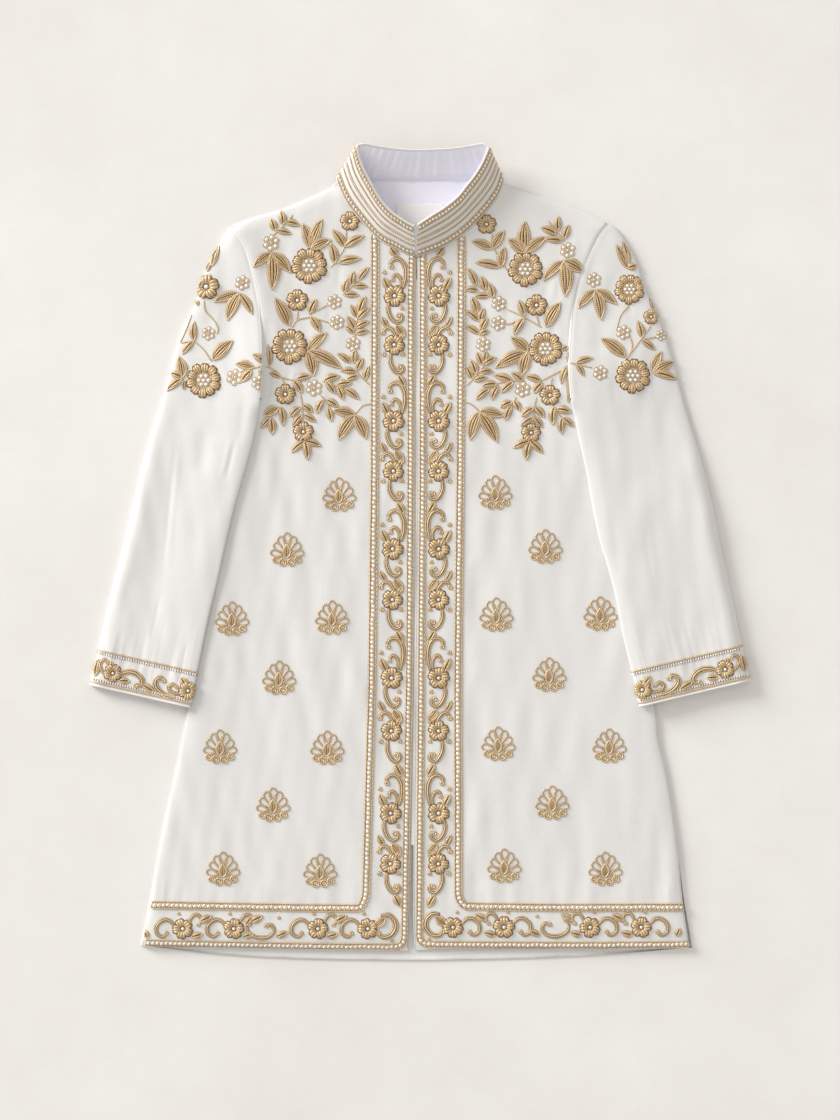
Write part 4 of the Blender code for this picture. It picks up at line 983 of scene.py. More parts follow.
def build_materials():
    """Every finish of the coat, by its name."""
    weave, strands = weave_group(), strand_group()
    # Thread colours by painted light share: painted shade at 0, the thread's own colour in the middle, a
    # painted highlight at 1.
    gold = [(0.0, (0.17, 0.088, 0.032)), (0.2, (0.35, 0.208, 0.090)), (0.52, (0.60, 0.425, 0.232)),
            (1.0, (0.86, 0.73, 0.510))]
    white = [(0.0, (0.42, 0.36, 0.29)), (0.4, (0.80, 0.77, 0.72)), (1.0, (0.93, 0.92, 0.90))]
    return {
        "ivory": cloth_material("ivory_silk", (0.79, 0.782, 0.765), (0.735, 0.725, 0.705), 0.0006, weave),
        "lining": cloth_material("lavender_white_lining", (0.925, 0.915, 1.0), (0.865, 0.85, 0.99), 0.0004,
                                 weave, roughness=0.42, sheen=0.1, depth=0.00006, slub=0.25),
        "label": cloth_material("cream_label", (0.97, 0.95, 0.91), (0.93, 0.90, 0.845), 0.0007, weave,
                                roughness=0.5, sheen=0.0, depth=0.0001),
        "gold": thread_material("antique_gold_thread", gold, strands),
        "white": thread_material("white_thread", white, strands, roughness=0.5, metallic=0.0),
        "beads": bead_material(),
    }


FLOOR_HALF = 6.0
KEY_DIRECTION = (-0.76, 0.54, 0.29)
KEY_DISTANCE = 18.0
KEY_SIZE = 8.0
KEY_POWER = 3850.0
CAMERA_LENS = 200.0
SENSOR = 36.0
PHOTO_HEIGHT = 1.3216
PHOTO_MIDDLE_Y = -0.008


def build_stage():
    """A plain pale floor, soft light from the upper left and the camera straight above."""
    corners = [(-FLOOR_HALF, -FLOOR_HALF, 0), (FLOOR_HALF, -FLOOR_HALF, 0), (FLOOR_HALF, FLOOR_HALF, 0),
               (-FLOOR_HALF, FLOOR_HALF, 0)]
    mesh = bpy.data.meshes.new("floor")
    mesh.from_pydata([(x, y, -0.0002) for x, y, _ in corners], [], [(0, 1, 2, 3)])
    floor = bpy.data.objects.new("floor", mesh)
    bpy.context.scene.collection.objects.link(floor)
    material, tree, shader = new_material("floor_paper", 0.9)
    where = put(tree, "ShaderNodeTexCoord").outputs["Object"]
    grain = put(tree, "ShaderNodeTexNoise", {"Vector": where, "Scale": 2.2, "Detail": 9.0, "Roughness": 0.72})
    colour = ramp(tree, grain.outputs[0], [(0.30, (0.800, 0.782, 0.752)), (0.70, (0.905, 0.890, 0.863))])
    tree.links.new(colour, shader.inputs["Base Color"])
    mesh.materials.append(material)

    scene = bpy.context.scene
    scene.view_settings.view_transform = "Standard"
    world = bpy.data.worlds.new("studio")
    world.use_nodes = True
    world.node_tree.nodes["Background"].inputs[0].default_value = (1.0, 0.970, 0.932, 1.0)
    world.node_tree.nodes["Background"].inputs[1].default_value = 0.67
    scene.world = world
    lamp = bpy.data.lights.new("key", "AREA")
    lamp.shape = "DISK"
    lamp.size = KEY_SIZE
    lamp.energy = KEY_POWER
    lamp.color = (0.985, 0.985, 0.985)
    key = bpy.data.objects.new("key", lamp)
    way = Vector(KEY_DIRECTION).normalized()
    key.location = way * KEY_DISTANCE
    key.rotation_euler = way.to_track_quat("Z", "Y").to_euler()
    scene.collection.objects.link(key)

    lens = bpy.data.cameras.new("camera")
    lens.lens = CAMERA_LENS
    lens.sensor_width = SENSOR
    lens.clip_end = 60.0
    camera = bpy.data.objects.new("camera", lens)
    camera.location = (0.0, PHOTO_MIDDLE_Y, PHOTO_HEIGHT * CAMERA_LENS / SENSOR)
    scene.collection.objects.link(camera)
    scene.camera = camera


# The photograph shows 1.18 mm of the coat in a pixel, and table places are measured from this pixel.
PIXEL = 1.18
ZERO_PIXEL = (420.0, 552.5)

# Finishes of the needlework, in the order of its materials
GOLD, WHITE, BEAD = 0, 1, 2

# Sprays of embroidery, placed by the photograph's pixels.
# Leaves. Columns: root x, root y, tip x, tip y, width.
CHEST_LEAVES = {
    LEFT: [(275, 231, 271, 219, 7), (283, 225, 281, 211, 7), (285, 222, 300, 225.5, 7),
           (277, 231, 291.5, 234, 6),
           (272, 253, 253.5, 267.5, 9), (272, 253, 272, 290, 13), (272, 253, 290.5, 273, 11),
           (311, 249, 303, 224, 11), (311, 249, 322, 219.5, 11), (311, 249, 331, 240, 10),
           (344.5, 247, 332.5, 230, 8), (345, 247, 364, 236, 8), (335, 264, 330.5, 243, 8),
           (338.5, 263, 361, 258.5, 8), (344, 293, 347.5, 279.5, 7), (352, 286, 353.5, 271.5, 7),
           (359, 280, 369, 267.5, 6), (354, 286.5, 367.5, 286.5, 6), (344, 295, 359, 295.5, 6),
           (357, 318, 350.5, 305, 6), (359, 313, 365.5, 296.5, 8), (358, 319, 369.5, 308, 7),
           (355, 330, 347, 316.5, 7), (356, 328, 369.5, 321.5, 6), (354, 334, 346, 326, 6),
           (356, 334, 369, 331, 6), (289, 326, 275, 298, 12), (309.5, 313.5, 316.5, 299.5, 8),
           (311, 317, 320, 332, 8), (308, 351, 327, 333, 10), (308, 351, 341.5, 368.5, 12),
           (308, 351, 313.5, 376, 12), (350, 363, 337.5, 353.5, 6), (354, 363, 355, 350, 8),
           (357, 370, 363, 358.5, 7), (365, 380, 369, 366, 6), (356, 371.5, 340.5, 371, 6),
           (358, 376, 346, 380, 6), (324, 381, 339.5, 376, 8), (326, 382, 335, 394, 7),
           (337, 385, 352, 383, 7), (338, 387, 343, 400, 7), (345, 389, 359, 399.5, 7),
           (297, 379, 311, 376, 7), (294, 381, 302, 393, 8), (270, 373, 281, 378, 5),
           (323, 400, 316.5, 413.5, 7), (327, 400, 338, 407, 7), (328, 408, 331, 421.5, 7),
           (300, 407, 290, 417, 7), (303, 405, 312.5, 412.5, 7), (302, 415, 293, 427, 6),
           (304, 415, 316, 422, 6), (305, 441, 291.5, 452.5, 7), (305, 441, 321, 446, 7),
           (305, 441, 307.5, 460, 8), (355, 415, 333, 411, 10), (355, 415, 338.5, 440, 12),
           (355, 415, 366, 439, 12), (279, 408, 264, 416, 9), (281, 407, 283, 426, 7),
           (271, 418, 261, 428.5, 6), (271, 418, 272, 434.5, 8), (270, 366, 268, 345, 5)],
    RIGHT: [(556, 234, 541, 228, 8), (558, 231, 558.5, 216.5, 7), (564, 239, 569, 225.5, 7),
            (562, 241, 545, 240, 7), (564, 261, 543, 281, 9), (564, 261, 565, 296.5, 13),
            (564, 261, 583, 272, 12), (525, 253, 508.5, 239.5, 12), (525, 253, 525, 221.5, 13),
            (525, 253, 547, 237, 10), (492, 249, 472, 241.5, 9), (493, 249, 504.5, 231, 9),
            (501, 267, 504.5, 247.5, 9), (500, 267, 475.5, 263, 8), (476, 286, 468, 268.5, 7),
            (485, 290, 481, 276.5, 7), (478, 290, 464.5, 290, 6), (493, 298, 489, 283, 7),
            (489, 296, 474.5, 297, 6), (524, 316, 518.5, 300.5, 8), (524, 318, 514, 335, 8),
            (546, 327, 560.5, 302.5, 12), (477, 313, 471.5, 297.5, 8), (479, 321, 466, 311, 7),
            (480, 321, 484, 308.5, 7), (481, 329, 487.5, 318, 7), (479, 334, 465.5, 326, 6),
            (480, 334, 489, 331, 6), (528, 352, 511, 337.5, 11), (528, 352, 495, 368, 12),
            (528, 352, 522, 375.5, 12), (482, 365, 476.5, 352.5, 7), (485, 363, 486, 351, 7),
            (483, 365, 496, 357.5, 7), (476, 374, 470.5, 360, 8), (480, 372, 493, 371.5, 6),
            (472, 379, 466, 367, 6), (474, 381, 487, 377.5, 6), (512, 381, 494, 375.5, 8),
            (523, 381, 511.5, 373, 7), (513, 382, 501, 393, 7), (497, 384, 482, 386, 7),
            (498, 386, 491.5, 400, 7), (489, 389, 476, 400, 7), (541, 381, 525.5, 376.5, 7),
            (542, 383, 533.5, 393, 8), (512, 402, 500, 407.5, 7), (514, 401, 519.5, 411, 7),
            (511, 406, 505.5, 420.5, 7), (479, 412, 470, 440, 12), (479, 412, 497, 442.5, 13),
            (479, 412, 504.5, 416, 10), (533, 408, 521.5, 416.5, 7), (535, 407, 544, 417.5, 7),
            (533, 418, 520.5, 426, 6), (534, 417, 542, 428, 6), (530, 441, 513, 448, 7),
            (530, 441, 542.5, 453.5, 7), (530, 441, 526, 460, 8), (554, 407, 552.5, 425, 8),
            (557, 409, 571, 412, 8), (562, 418, 561.5, 434, 7), (563, 418, 573, 427, 6),
            (561, 350, 568, 347, 5), (568, 362, 574, 349, 6), (567, 366, 561, 384, 6),
            (568, 372, 568, 403, 5)],
}
SLEEVE_LEAVES = {
    LEFT: [(212, 266, 219.5, 245.5, 7), (207, 271.5, 211, 261, 5), (196, 300, 198, 306, 4),
           (239.5, 293.5, 214, 302, 9), (239.5, 293.5, 227.5, 320.5, 11), (239.5, 293.5, 252.5, 314.5, 8),
           (194, 341, 194.4, 321.6, 7), (194, 341, 182.5, 354.5, 6), (213, 360, 233, 341, 12),
           (183, 378, 179, 356.5, 10), (183, 378, 170.5, 373, 8), (183, 378, 167, 391, 7),
           (183, 380, 184, 390, 4), (254, 368, 236, 364, 9), (252, 371, 242, 382, 8),
           (265, 363, 253, 354.5, 7), (264, 366, 262, 377, 6)],
    RIGHT: [(628, 269, 616, 245.5, 9), (628, 266, 622.5, 241, 6), (628, 268, 637, 266, 7),
            (595.5, 290, 578, 308.5, 9), (595.5, 290, 601, 320, 11), (595.5, 290, 616.5, 304.5, 9),
            (653, 309, 650, 299, 4), (642, 338, 637.5, 321, 7), (642, 341, 654.5, 350, 6),
            (625, 357, 601, 338.7, 12), (652.5, 372.5, 661.5, 351.3, 9), (652.5, 372.5, 674.5, 362, 10),
            (652.5, 372.5, 677, 379.5, 8), (576, 363, 592.5, 358.3, 6), (576, 364, 583.5, 376.5, 5)],
}
# Stems. Columns: x, y of the points that each goes through.
CHEST_STEMS = {
    LEFT: [[(272, 236), (283, 226), (293, 215)], [(346, 229), (344.6, 247), (330, 268.5)],
           [(342, 295), (352, 286.5), (360, 279)], [(355, 338), (356, 325), (359, 312)],
           [(298, 311), (297, 320)], [(292, 328), (297, 320.5), (311, 317)],
           [(309, 315), (318, 310), (327, 305.5)],
           [(311, 317), (320, 320), (329, 323)], [(372, 387), (358, 373), (352, 350)],
           [(322, 381), (330, 384), (346, 389)], [(266, 366), (277, 372), (283, 378), (302, 382)],
           [(285.5, 386), (282, 378)], [(320, 395), (325, 400), (331, 410)],
           [(300, 392), (302, 404), (303, 424)],
           [(355, 414), (362, 406), (371, 404)]],
    RIGHT: [[(492, 233), (493, 247), (508, 272)], [(565, 242), (556, 231), (548, 221)],
            [(492, 298), (484, 291), (477, 285)], [(507, 309.5), (525, 318), (542, 328)],
            [(536.5, 316), (539, 325)], [(480, 337), (479, 318), (474, 304)],
            [(503, 324), (510, 324), (518, 320)],
            [(466, 386), (480, 371), (485, 360)], [(523, 382), (512, 381), (496, 384), (487, 390)],
            [(541, 381), (560, 371), (569, 366)], [(516, 397), (513, 402), (510, 410)],
            [(479, 411), (472, 405), (465, 402)], [(536, 397), (534, 408), (533, 425)],
            [(551, 404), (556, 410), (563, 420)], [(550, 386), (552, 378)]],
}
SLEEVE_STEMS = {
    LEFT: [[(204, 300), (205.5, 311), (213, 319), (218, 328), (217, 335)],
           [(180, 343), (186, 330), (192, 314)],
           [(194, 341), (204, 350), (212, 362)], [(240, 372), (254, 368.5), (267, 365)],
           [(180, 343), (194, 341)]],
    RIGHT: [[(629, 305), (620, 316), (616, 331)], [(651, 325), (635, 347), (624, 361)],
            [(642, 340), (656, 337)],
            [(630, 337), (631.5, 347), (627, 358)], [(569, 363), (580, 365.5), (592, 368)]],
}
# Round motifs. Columns: x, y, radius.
BIG_FLOWERS = {LEFT: [(309.5, 266, 18), (290, 346.5, 18)], RIGHT: [(525.5, 269.5, 17.5), (545.5, 349, 17)]}
SMALL_FLOWERS = {
    LEFT: [(350, 221.5, 9.5), (297.5, 300.5, 10.5), (285.5, 394.5, 10), (303.5, 432, 10)],
    RIGHT: [(486.5, 224.5, 9.5), (536.5, 305.5, 10.5), (550, 395.5, 10), (531, 433, 9.5)],
}
ROSETTES = {
    LEFT: [(271, 243, 9), (334.4, 302, 8), (337, 322.5, 8), (353, 344, 8), (314, 388, 9)],
    RIGHT: [(567.5, 250.5, 8.5), (498.7, 303.8, 8), (498, 323.5, 8), (483, 344.5, 8), (522.5, 389.5, 8.5),
            (573, 381, 6)],
}
SLEEVE_BIG_FLOWERS = {LEFT: [(204, 380.5, 17.5)], RIGHT: [(632.8, 376, 17.5), (629.5, 289.5, 15)]}
SLEEVE_SMALL_FLOWERS = {LEFT: [(206.5, 287, 12.5)], RIGHT: [(651, 317, 7.5)]}
SLEEVE_ROSETTES = {
    LEFT: [(242.5, 283, 8), (208.6, 333.6, 7.5), (235, 377.5, 9), (259, 383, 8)],
    RIGHT: [(593.5, 280, 8), (623.2, 332.5, 8), (661, 335.5, 6), (600, 373, 8)],
}
CHEST_SPRAY = (CHEST_LEAVES, CHEST_STEMS, BIG_FLOWERS, SMALL_FLOWERS, ROSETTES)
SLEEVE_SPRAY = (SLEEVE_LEAVES, SLEEVE_STEMS, SLEEVE_BIG_FLOWERS, SLEEVE_SMALL_FLOWERS, SLEEVE_ROSETTES)
# The fans that are scattered over the skirt. Columns: x, y.
BUTIS = {
    LEFT: [(339, 496), (287, 551), (332, 619), (279, 679), (220, 748), (327, 749), (273, 806), (223, 870),
           (320, 872), (232, 620)],
    RIGHT: [(495, 494), (545, 548), (496, 616), (600, 615), (549, 676), (498, 745), (609, 747), (552, 804),
            (504, 867), (605, 870)],
}
# One repeat of the band beside the front edge, in pixels from a first flower: toward the edge, then down.
BAND_PERIOD = 125.0
# Scrolls: thickness, size of the eye, then the points of the path as toward and down.
BAND_SCROLLS = [
    (5.2, 2.5, [(9.8, -7), (12.2, -17), (12.2, -27), (8.6, -34.5), (3.0, -37), (-2.4, -34), (-2.2, -29)]),
    (4.0, 2.1, [(7.2, -8), (8.0, -15), (4.8, -20.3), (0.8, -20.3), (-0.7, -16)]),
    (5.0, 2.4, [(-4.1, 5), (-4.9, 14), (-1.6, 22.5), (3.8, 26.3), (8.7, 23.5), (8.6, 19.2), (5.4, 19.5)]),
    (4.8, 2.4, [(3.6, 43), (1.6, 37), (-2.5, 32.6), (-7.2, 32.6), (-9.9, 37)]),
    (5.0, 2.4, [(-1.9, 57), (-2.2, 66), (1.0, 73.4), (5.6, 77.2), (10.0, 74.8), (10.0, 70.3), (6.9, 71)]),
]
# Leaves. Columns: root toward, root down, tip toward, tip down, width.
BAND_LEAVES = [(-3.6, -6, -10.0, -18.5, 7.5), (3.2, 29.5, 12.0, 41, 8.5), (5.8, 79.5, 12.6, 91, 7.5),
               (-5.8, 31, -11.2, 21, 5.5), (7.0, 44, 11.6, 36, 5)]
BAND_TOP_LEAF = (3.4, -40, -3.6, -49, 7.5)
BAND_DOTS = [(-9.2, -23.5, 2.1), (9.0, 12.6, 1.9), (-8.8, 58.5, 2.3), (10.3, 58.5, 2.0)]
BAND_FLOWERS = [(1.5, 0, 10.6), (1.6, 49, 10.2)]
BAND_STARTS = [296.0, 421.0, 549.0, 678.0, 813.0, 942.0]
# Middle of each band: x at the top, x at the foot. It is straight between these pixel rows.
BAND_MIDDLES = {LEFT: (393.5, 388.5), RIGHT: (440.5, 440.0)}
BAND_ROWS = (250.0, 900.0)
# Pixel rows above which a scroll, leaf, dot or flower of the band still clears the hem band
SCROLL_LIMIT, LEAF_LIMIT, DOT_LIMIT, FLOWER_LIMIT = 908.0, 914.0, 912.0, 900.0
# The hem band. Columns: x and radius of each flower, with a scroll on the side away from the front edge.
HEM_FLOWERS = {LEFT: [(368, 9), (318, 9), (234, 9), (183, 9)],
               RIGHT: [(453, 9), (504, 9.5), (590, 9), (641, 9)]}
HEM_BAND_Y = {LEFT: 928.5, RIGHT: 927.0}
HEM_GAP_MIDDLE = {LEFT: 266, RIGHT: 550}
# Braids, down the front and along the hem. Columns: x, y.
EDGE_BRAID = {
    LEFT: [(411.9, 254), (411.0, 300), (410.8, 470), (409.2, 680), (405.2, 900), (404.4, 941), (399, 946.7),
           (300, 945.9), (200, 943.7), (145, 942.5)],
    RIGHT: [(422.9, 252), (423.2, 300), (422.9, 470), (421.3, 680), (419.6, 900), (419.2, 939), (424, 943.8),
            (500, 944.6), (600, 945), (689, 944)],
}
INNER_BRAID = {
    LEFT: [(374.8, 234), (375, 260), (374.6, 470), (372, 680), (366, 895), (361, 908), (300, 907.4),
           (220, 905.9),
           (151, 904.6)],
    RIGHT: [(461.5, 236), (461.5, 260), (460.3, 470), (457.8, 680), (458.3, 897), (464, 906), (560, 907.3),
            (684, 906.9)],
}


# A fan's open petals from its middle, in millimetres. Columns: tip x, tip y, root y, width.
BUTI_FAN = [(0.0, 21.5, 6.0, 10.5), (-8.6, 17.0, 4.0, 10.0), (8.6, 17.0, 4.0, 10.0), (-15.0, 9.0, 1.5, 9.4),
            (15.0, 9.0, 1.5, 9.4), (-19.2, -1.0, -3.0, 8.6), (19.2, -1.0, -3.0, 8.6)]
# Its curls and the stem above them. Columns of the curls: aside, up, radius.
BUTI_CURLS = [(5.0, -13.3, 4.1), (12.8, -10.2, 3.6)]
BUTI_STEM = [(-16.0, -5.0), (-6.0, -7.6), (0.0, -7.0), (6.0, -7.6), (16.0, -5.0)]
# Where a petal's strands lie across it, as shares of its half width
PETAL_STRANDS = (-0.82 * 2 / 3, 0.0, 0.82 * 2 / 3)


def pixels(places):
    """Places in the photograph's pixels, as places on the coat."""
    places = np.atleast_2d(np.array(places, float))
    return np.column_stack([(places[:, 0] - ZERO_PIXEL[0]) * PIXEL, (ZERO_PIXEL[1] - places[:, 1]) * PIXEL])


DISC_SIDE = 5
SQUARE = np.stack(np.meshgrid(*[np.linspace(-1, 1, DISC_SIDE)] * 2), axis=2).reshape(-1, 2)
DISC = SQUARE * np.sqrt(np.maximum(0, 1 - SQUARE[:, ::-1] ** 2 / 2))
CORD_TURNS = np.radians([0, 45, 90, 135, 180])
THREAD_TWIST = 2.3


def toward(angle):
    """A direction in plan."""
    return np.array([math.cos(angle), math.sin(angle)])


def motif_axis(root, tip):
    """A motif's root, its run to the tip and the direction to the left of that run."""
    root = np.asarray(root, float)
    run = np.asarray(tip, float) - root
    return root, run, np.array([-run[1], run[0]]) / np.linalg.norm(run)


class Needlework:
    """Stitches in plan, as points (x, y, height above the cloth), which are laid on the cloth at the end."""

    def __init__(self):
        self.points, self.faces, self.thread, self.finishes = [], [], [], []
        self.count = 0

    def add(self, points, faces, turn, top, finish):
        """turn and top are each point's strand turn and painted light share, low for painted shade and high
        for painted light, as one value or one for each.
        """
        turn, top = (np.broadcast_to(values, len(points)) for values in (turn, top))
        self.points.append(points)
        self.faces.append(faces + self.count)
        self.thread.append(np.column_stack([turn, np.zeros(len(turn)), top]))
        self.finishes.append(np.full(len(faces), finish))
        self.count += len(points)

    def cord(self, path, radius, lift=0.0, finish=GOLD, pitch=2.6, taper=True, height=1.0, tone=1.0):
        """A round thread along a path, half sunk in the cloth, with painted shade low on its sides. tone
        scales its painted light share, which makes it lighter or darker.
        """
        path = np.asarray(path, float)
        side = beside(path)[1]
        lengths = lengths_along(path)
        thick = np.full(len(path), radius) if np.isscalar(radius) else np.array(radius, float)
        if taper:
            ends = np.minimum(lengths, lengths[-1] - lengths)
            thick = thick * np.sqrt(np.clip(ends / (1.2 * np.maximum(thick, 0.1)), 0.04, 1))
        across, high = np.cos(CORD_TURNS), np.sin(CORD_TURNS)
        plan = path[:, None] + side[:, None] * (thick[:, None] * across)[..., None]
        rise = np.asarray(lift) if np.isscalar(lift) else np.asarray(lift)[:, None]
        lifted = rise + thick[:, None] * high * height - 0.12 * (high == 0) * thick[:, None]
        points = np.dstack([plan, lifted]).reshape(-1, 3)
        turn = (lengths[:, None] / pitch + CORD_TURNS / np.pi * 0.6).ravel()
        # Painted shade low on the cord's sides where it meets the cloth, painted light on its top.
        top = np.tile(tone * (0.22 + 0.78 * high ** 0.8), len(path))
        self.add(points, quads(len(path), len(CORD_TURNS)), turn, top, finish)

    def dome(self, middle, reach, height, finish, lift=0.0, angle=0.0):
        """A bead or knot: a round dome, or a long one if reach has two sizes."""
        local = DISC * np.broadcast_to(reach, 2)
        turned = local[:, :1] * toward(angle) + local[:, 1:] * toward(angle + math.pi / 2)
        rise = np.sqrt(np.maximum(0, 1 - (DISC ** 2).sum(axis=1)))
        points = np.column_stack([turned + middle, lift + rise * height - 0.1 * (rise < 0.05)])
        # Painted shade round the foot and painted light on the top; only gold domes show it, beads have their
        # own colour.
        self.add(points, quads(DISC_SIDE, DISC_SIDE), 0.25, 0.25 + 0.75 * rise, finish)

    def ring(self, middle, radius, thick, lift=0.0, steps=10):
        """A round of thread."""
        angles = np.linspace(0, 2 * np.pi, steps + 1)
        path = np.asarray(middle) + radius * np.column_stack([np.cos(angles), np.sin(angles)])
        self.cord(path, thick, lift, taper=False)

    def strip(self, spine, side, half, section, turn, top):
        """A low strip to both sides of a spine. Columns of section: place across it, height."""
        rows = [np.column_stack([spine + side * (half * v)[:, None], np.full(len(spine), high)])
                for v, high in section]
        self.add(np.vstack(rows), quads(len(section), len(spine)), turn, top, GOLD)

    def painted_shade_bed(self, spine, side, half):
        """A strip of painted shade: a dark low ground under the strands, which shows between them and round
        their edges where shade would fall.
        """
        self.strip(spine, side, half, ((-1.0, -0.1), (-0.9, 0.12), (0.9, 0.12), (1.0, -0.1)), 0.75, 0.10)

    def leaf(self, root, tip, width, bend=0.0):
        """A leaf: strands on a ground of painted shade, which shows in the gap for the rib and round the
        edge, and a lighter cord round them.
        """
        root, run, side = motif_axis(root, tip)
        t = np.linspace(0, 1, 12)
        half = 0.53 * width * np.sin(np.pi * t ** 0.86) ** 0.82
        half[-1] = 0.0
        spine = root + run * t[:, None] + side * (bend * np.linalg.norm(run) * np.sin(np.pi * t))[:, None]
        self.painted_shade_bed(spine, side, half + 0.65)
        thick = min(0.92, 0.098 * width)
        strands = 2 if width > 9.5 else 1
        inner = np.maximum(half - 1.7 * thick, 0)
        arch = np.sin(np.pi * t) ** 0.5
        rim = np.maximum(half - thick * 0.9, 0)
        fill = np.maximum(inner / (2 * strands) * 0.92, 0.05)
        for hand in (-1, 1):
            self.cord(spine + side * (hand * rim)[:, None], thick, 0.30 + 0.35 * arch, pitch=THREAD_TWIST,
                      taper=False, height=1.15, tone=1.06)
            for k in range(strands):
                place = 0.22 + inner * (k + 0.52) / strands
                self.cord(spine + side * (hand * place * (inner > 0))[:, None], fill, 0.25 + 0.50 * arch,
                          pitch=THREAD_TWIST, taper=False, height=1.1, tone=0.80)

    def petal(self, root, tip, width):
        """A petal: three strands side by side on a ground of painted shade, which shows between petals."""
        root, run, side = motif_axis(root, tip)
        t = np.linspace(0, 1, 8)
        half = 0.46 * width * np.sqrt(np.clip(1 - (2 * np.clip(t - 0.12, 0, 1) - 0.94) ** 2, 0.10, 1))
        self.painted_shade_bed(root + run * (t * 1.05)[:, None], side, half + 0.45)
        for v in PETAL_STRANDS:
            reach = 0.97 - 0.14 * abs(v)
            path = root + run * (0.04 + t * reach)[:, None] + side * (half * v)[:, None]
            arch = 0.35 + (0.75 - 0.45 * abs(v)) * np.sin(np.pi * t)
            self.cord(path, half * 0.34, arch, pitch=THREAD_TWIST, height=1.1, tone=0.92 - 0.16 * abs(v))

    def drop(self, root, tip, width):
        """A loop of thread in the shape of a drop."""
        root, run, side = motif_axis(root, tip)
        turn = np.linspace(0, 2 * np.pi, 17)
        t = (1 - np.cos(turn)) / 2
        wide = 0.5 * width * np.sin(turn) * (0.35 + 0.75 * t ** 0.8)
        self.cord(root + run * t[:, None] + side * wide[:, None], 0.95, 0.25, taper=False, tone=0.8)

    def big_flower(self, middle, radius):
        """Ten petals, long and short in turn, round seven beads in loops of thread."""
        self.dome(middle, radius * 0.75, 0.3, GOLD)
        petals, beads = 10, 6
        for k in range(petals):
            way = toward(2 * np.pi * (k + 0.35) / petals)
            reach = radius * (1.0 if k % 2 else 0.95)
            self.petal(middle + way * radius * 0.40, middle + way * reach, radius * 0.57)
        ring = [middle + radius * 0.275 * toward(2 * np.pi * k / beads) for k in range(beads)]
        for place in ring + [middle]:
            self.dome(place, radius * 0.105, 1.9, BEAD, lift=0.5)
            self.ring(place, radius * 0.135, 0.5, lift=0.4, steps=9)

    def small_flower(self, middle, radius, start=0.3):
        """Five petals round a bead, turned by the angle start."""
        petals = 5
        for k in range(petals):
            way = toward(start + 2 * np.pi * k / petals)
            self.petal(middle + way * radius * 0.16, middle + way * radius, radius * 1.04)
        self.dome(middle, radius * 0.17, 1.7, BEAD, lift=0.7)

    def rosette(self, middle, radius):
        """Six beads in loops of thread round a seventh."""
        beads = 6
        for k in range(beads):
            place = middle + radius * 0.62 * toward(0.4 + 2 * np.pi * k / beads)
            self.dome(place, radius * 0.215, 1.5, BEAD, lift=0.1)
            self.ring(place, radius * 0.31, radius * 0.062, lift=0.1)
        self.ring(middle, radius * 0.24, radius * 0.065, lift=0.3)
        self.dome(middle, radius * 0.13, 1.4, BEAD, lift=0.3)

    def crook(self, points, width, eye):
        """A scroll: a band of strands along a bent path that closes in a round eye."""
        share = np.linspace(0, 1, 26)
        path = along(smooth_curve(points), share)
        half = 0.5 * width * np.interp(share, [0, 0.16, 0.45, 0.8, 1], [0.45, 0.85, 1.0, 0.86, 0.66])
        across = beside(path)[1]
        # A ground of painted shade under the strands, which shows between them and round the scroll.
        self.painted_shade_bed(path, across, half + 0.5)
        for v, thick, tone in ((-0.76, 0.24, 1.2), (0.76, 0.24, 1.2), (0.0, 0.36, 1.05)):
            self.cord(path + across * (half * v)[:, None], half * thick, 0.3 + 0.35 * (v == 0),
                      pitch=THREAD_TWIST, height=1.2, tone=tone)
        self.knot(path[-1], eye)

    def knot(self, middle, radius):
        """A small round coil of cord with a dark middle."""
        self.dome(middle, radius + 0.9, 0.3, GOLD)
        self.ring(middle, radius * 0.66, radius * 0.36, 0.45, steps=11)
        self.dome(middle, radius * 0.26, 0.8, GOLD, lift=0.1)

    def buti(self, middle):
        """A fan of seven open petals over two pairs of curls."""
        for tip_x, tip_y, root_y, wide in BUTI_FAN:
            self.drop(middle + (tip_x * 0.30, root_y - 2.0), middle + (tip_x, tip_y), wide)
        self.leaf(middle + (0, -8.5), middle + (0, 8.0), 10.0)
        for hand in (-1, 1):
            for out, up, size in BUTI_CURLS:
                place = middle + (hand * out, up)
                self.dome(place, size * 0.9, 0.3, GOLD)
                self.ring(place, size, 1.0, lift=0.3, steps=14)
                self.ring(place, size * 0.45, 0.6, lift=0.4, steps=9)
        self.cord(middle + BUTI_STEM, 0.8)

    def braid(self, path, width, pitch=5.3, cords=(0.85, 0.14)):
        """Two gold cords with slanting white beads between them, each held by a gold strand."""
        path = along(smooth_corners(path), np.linspace(0, 1, int(lengths_along(path)[-1] / 1.3)))
        run, side = beside(path)
        half = width / 2
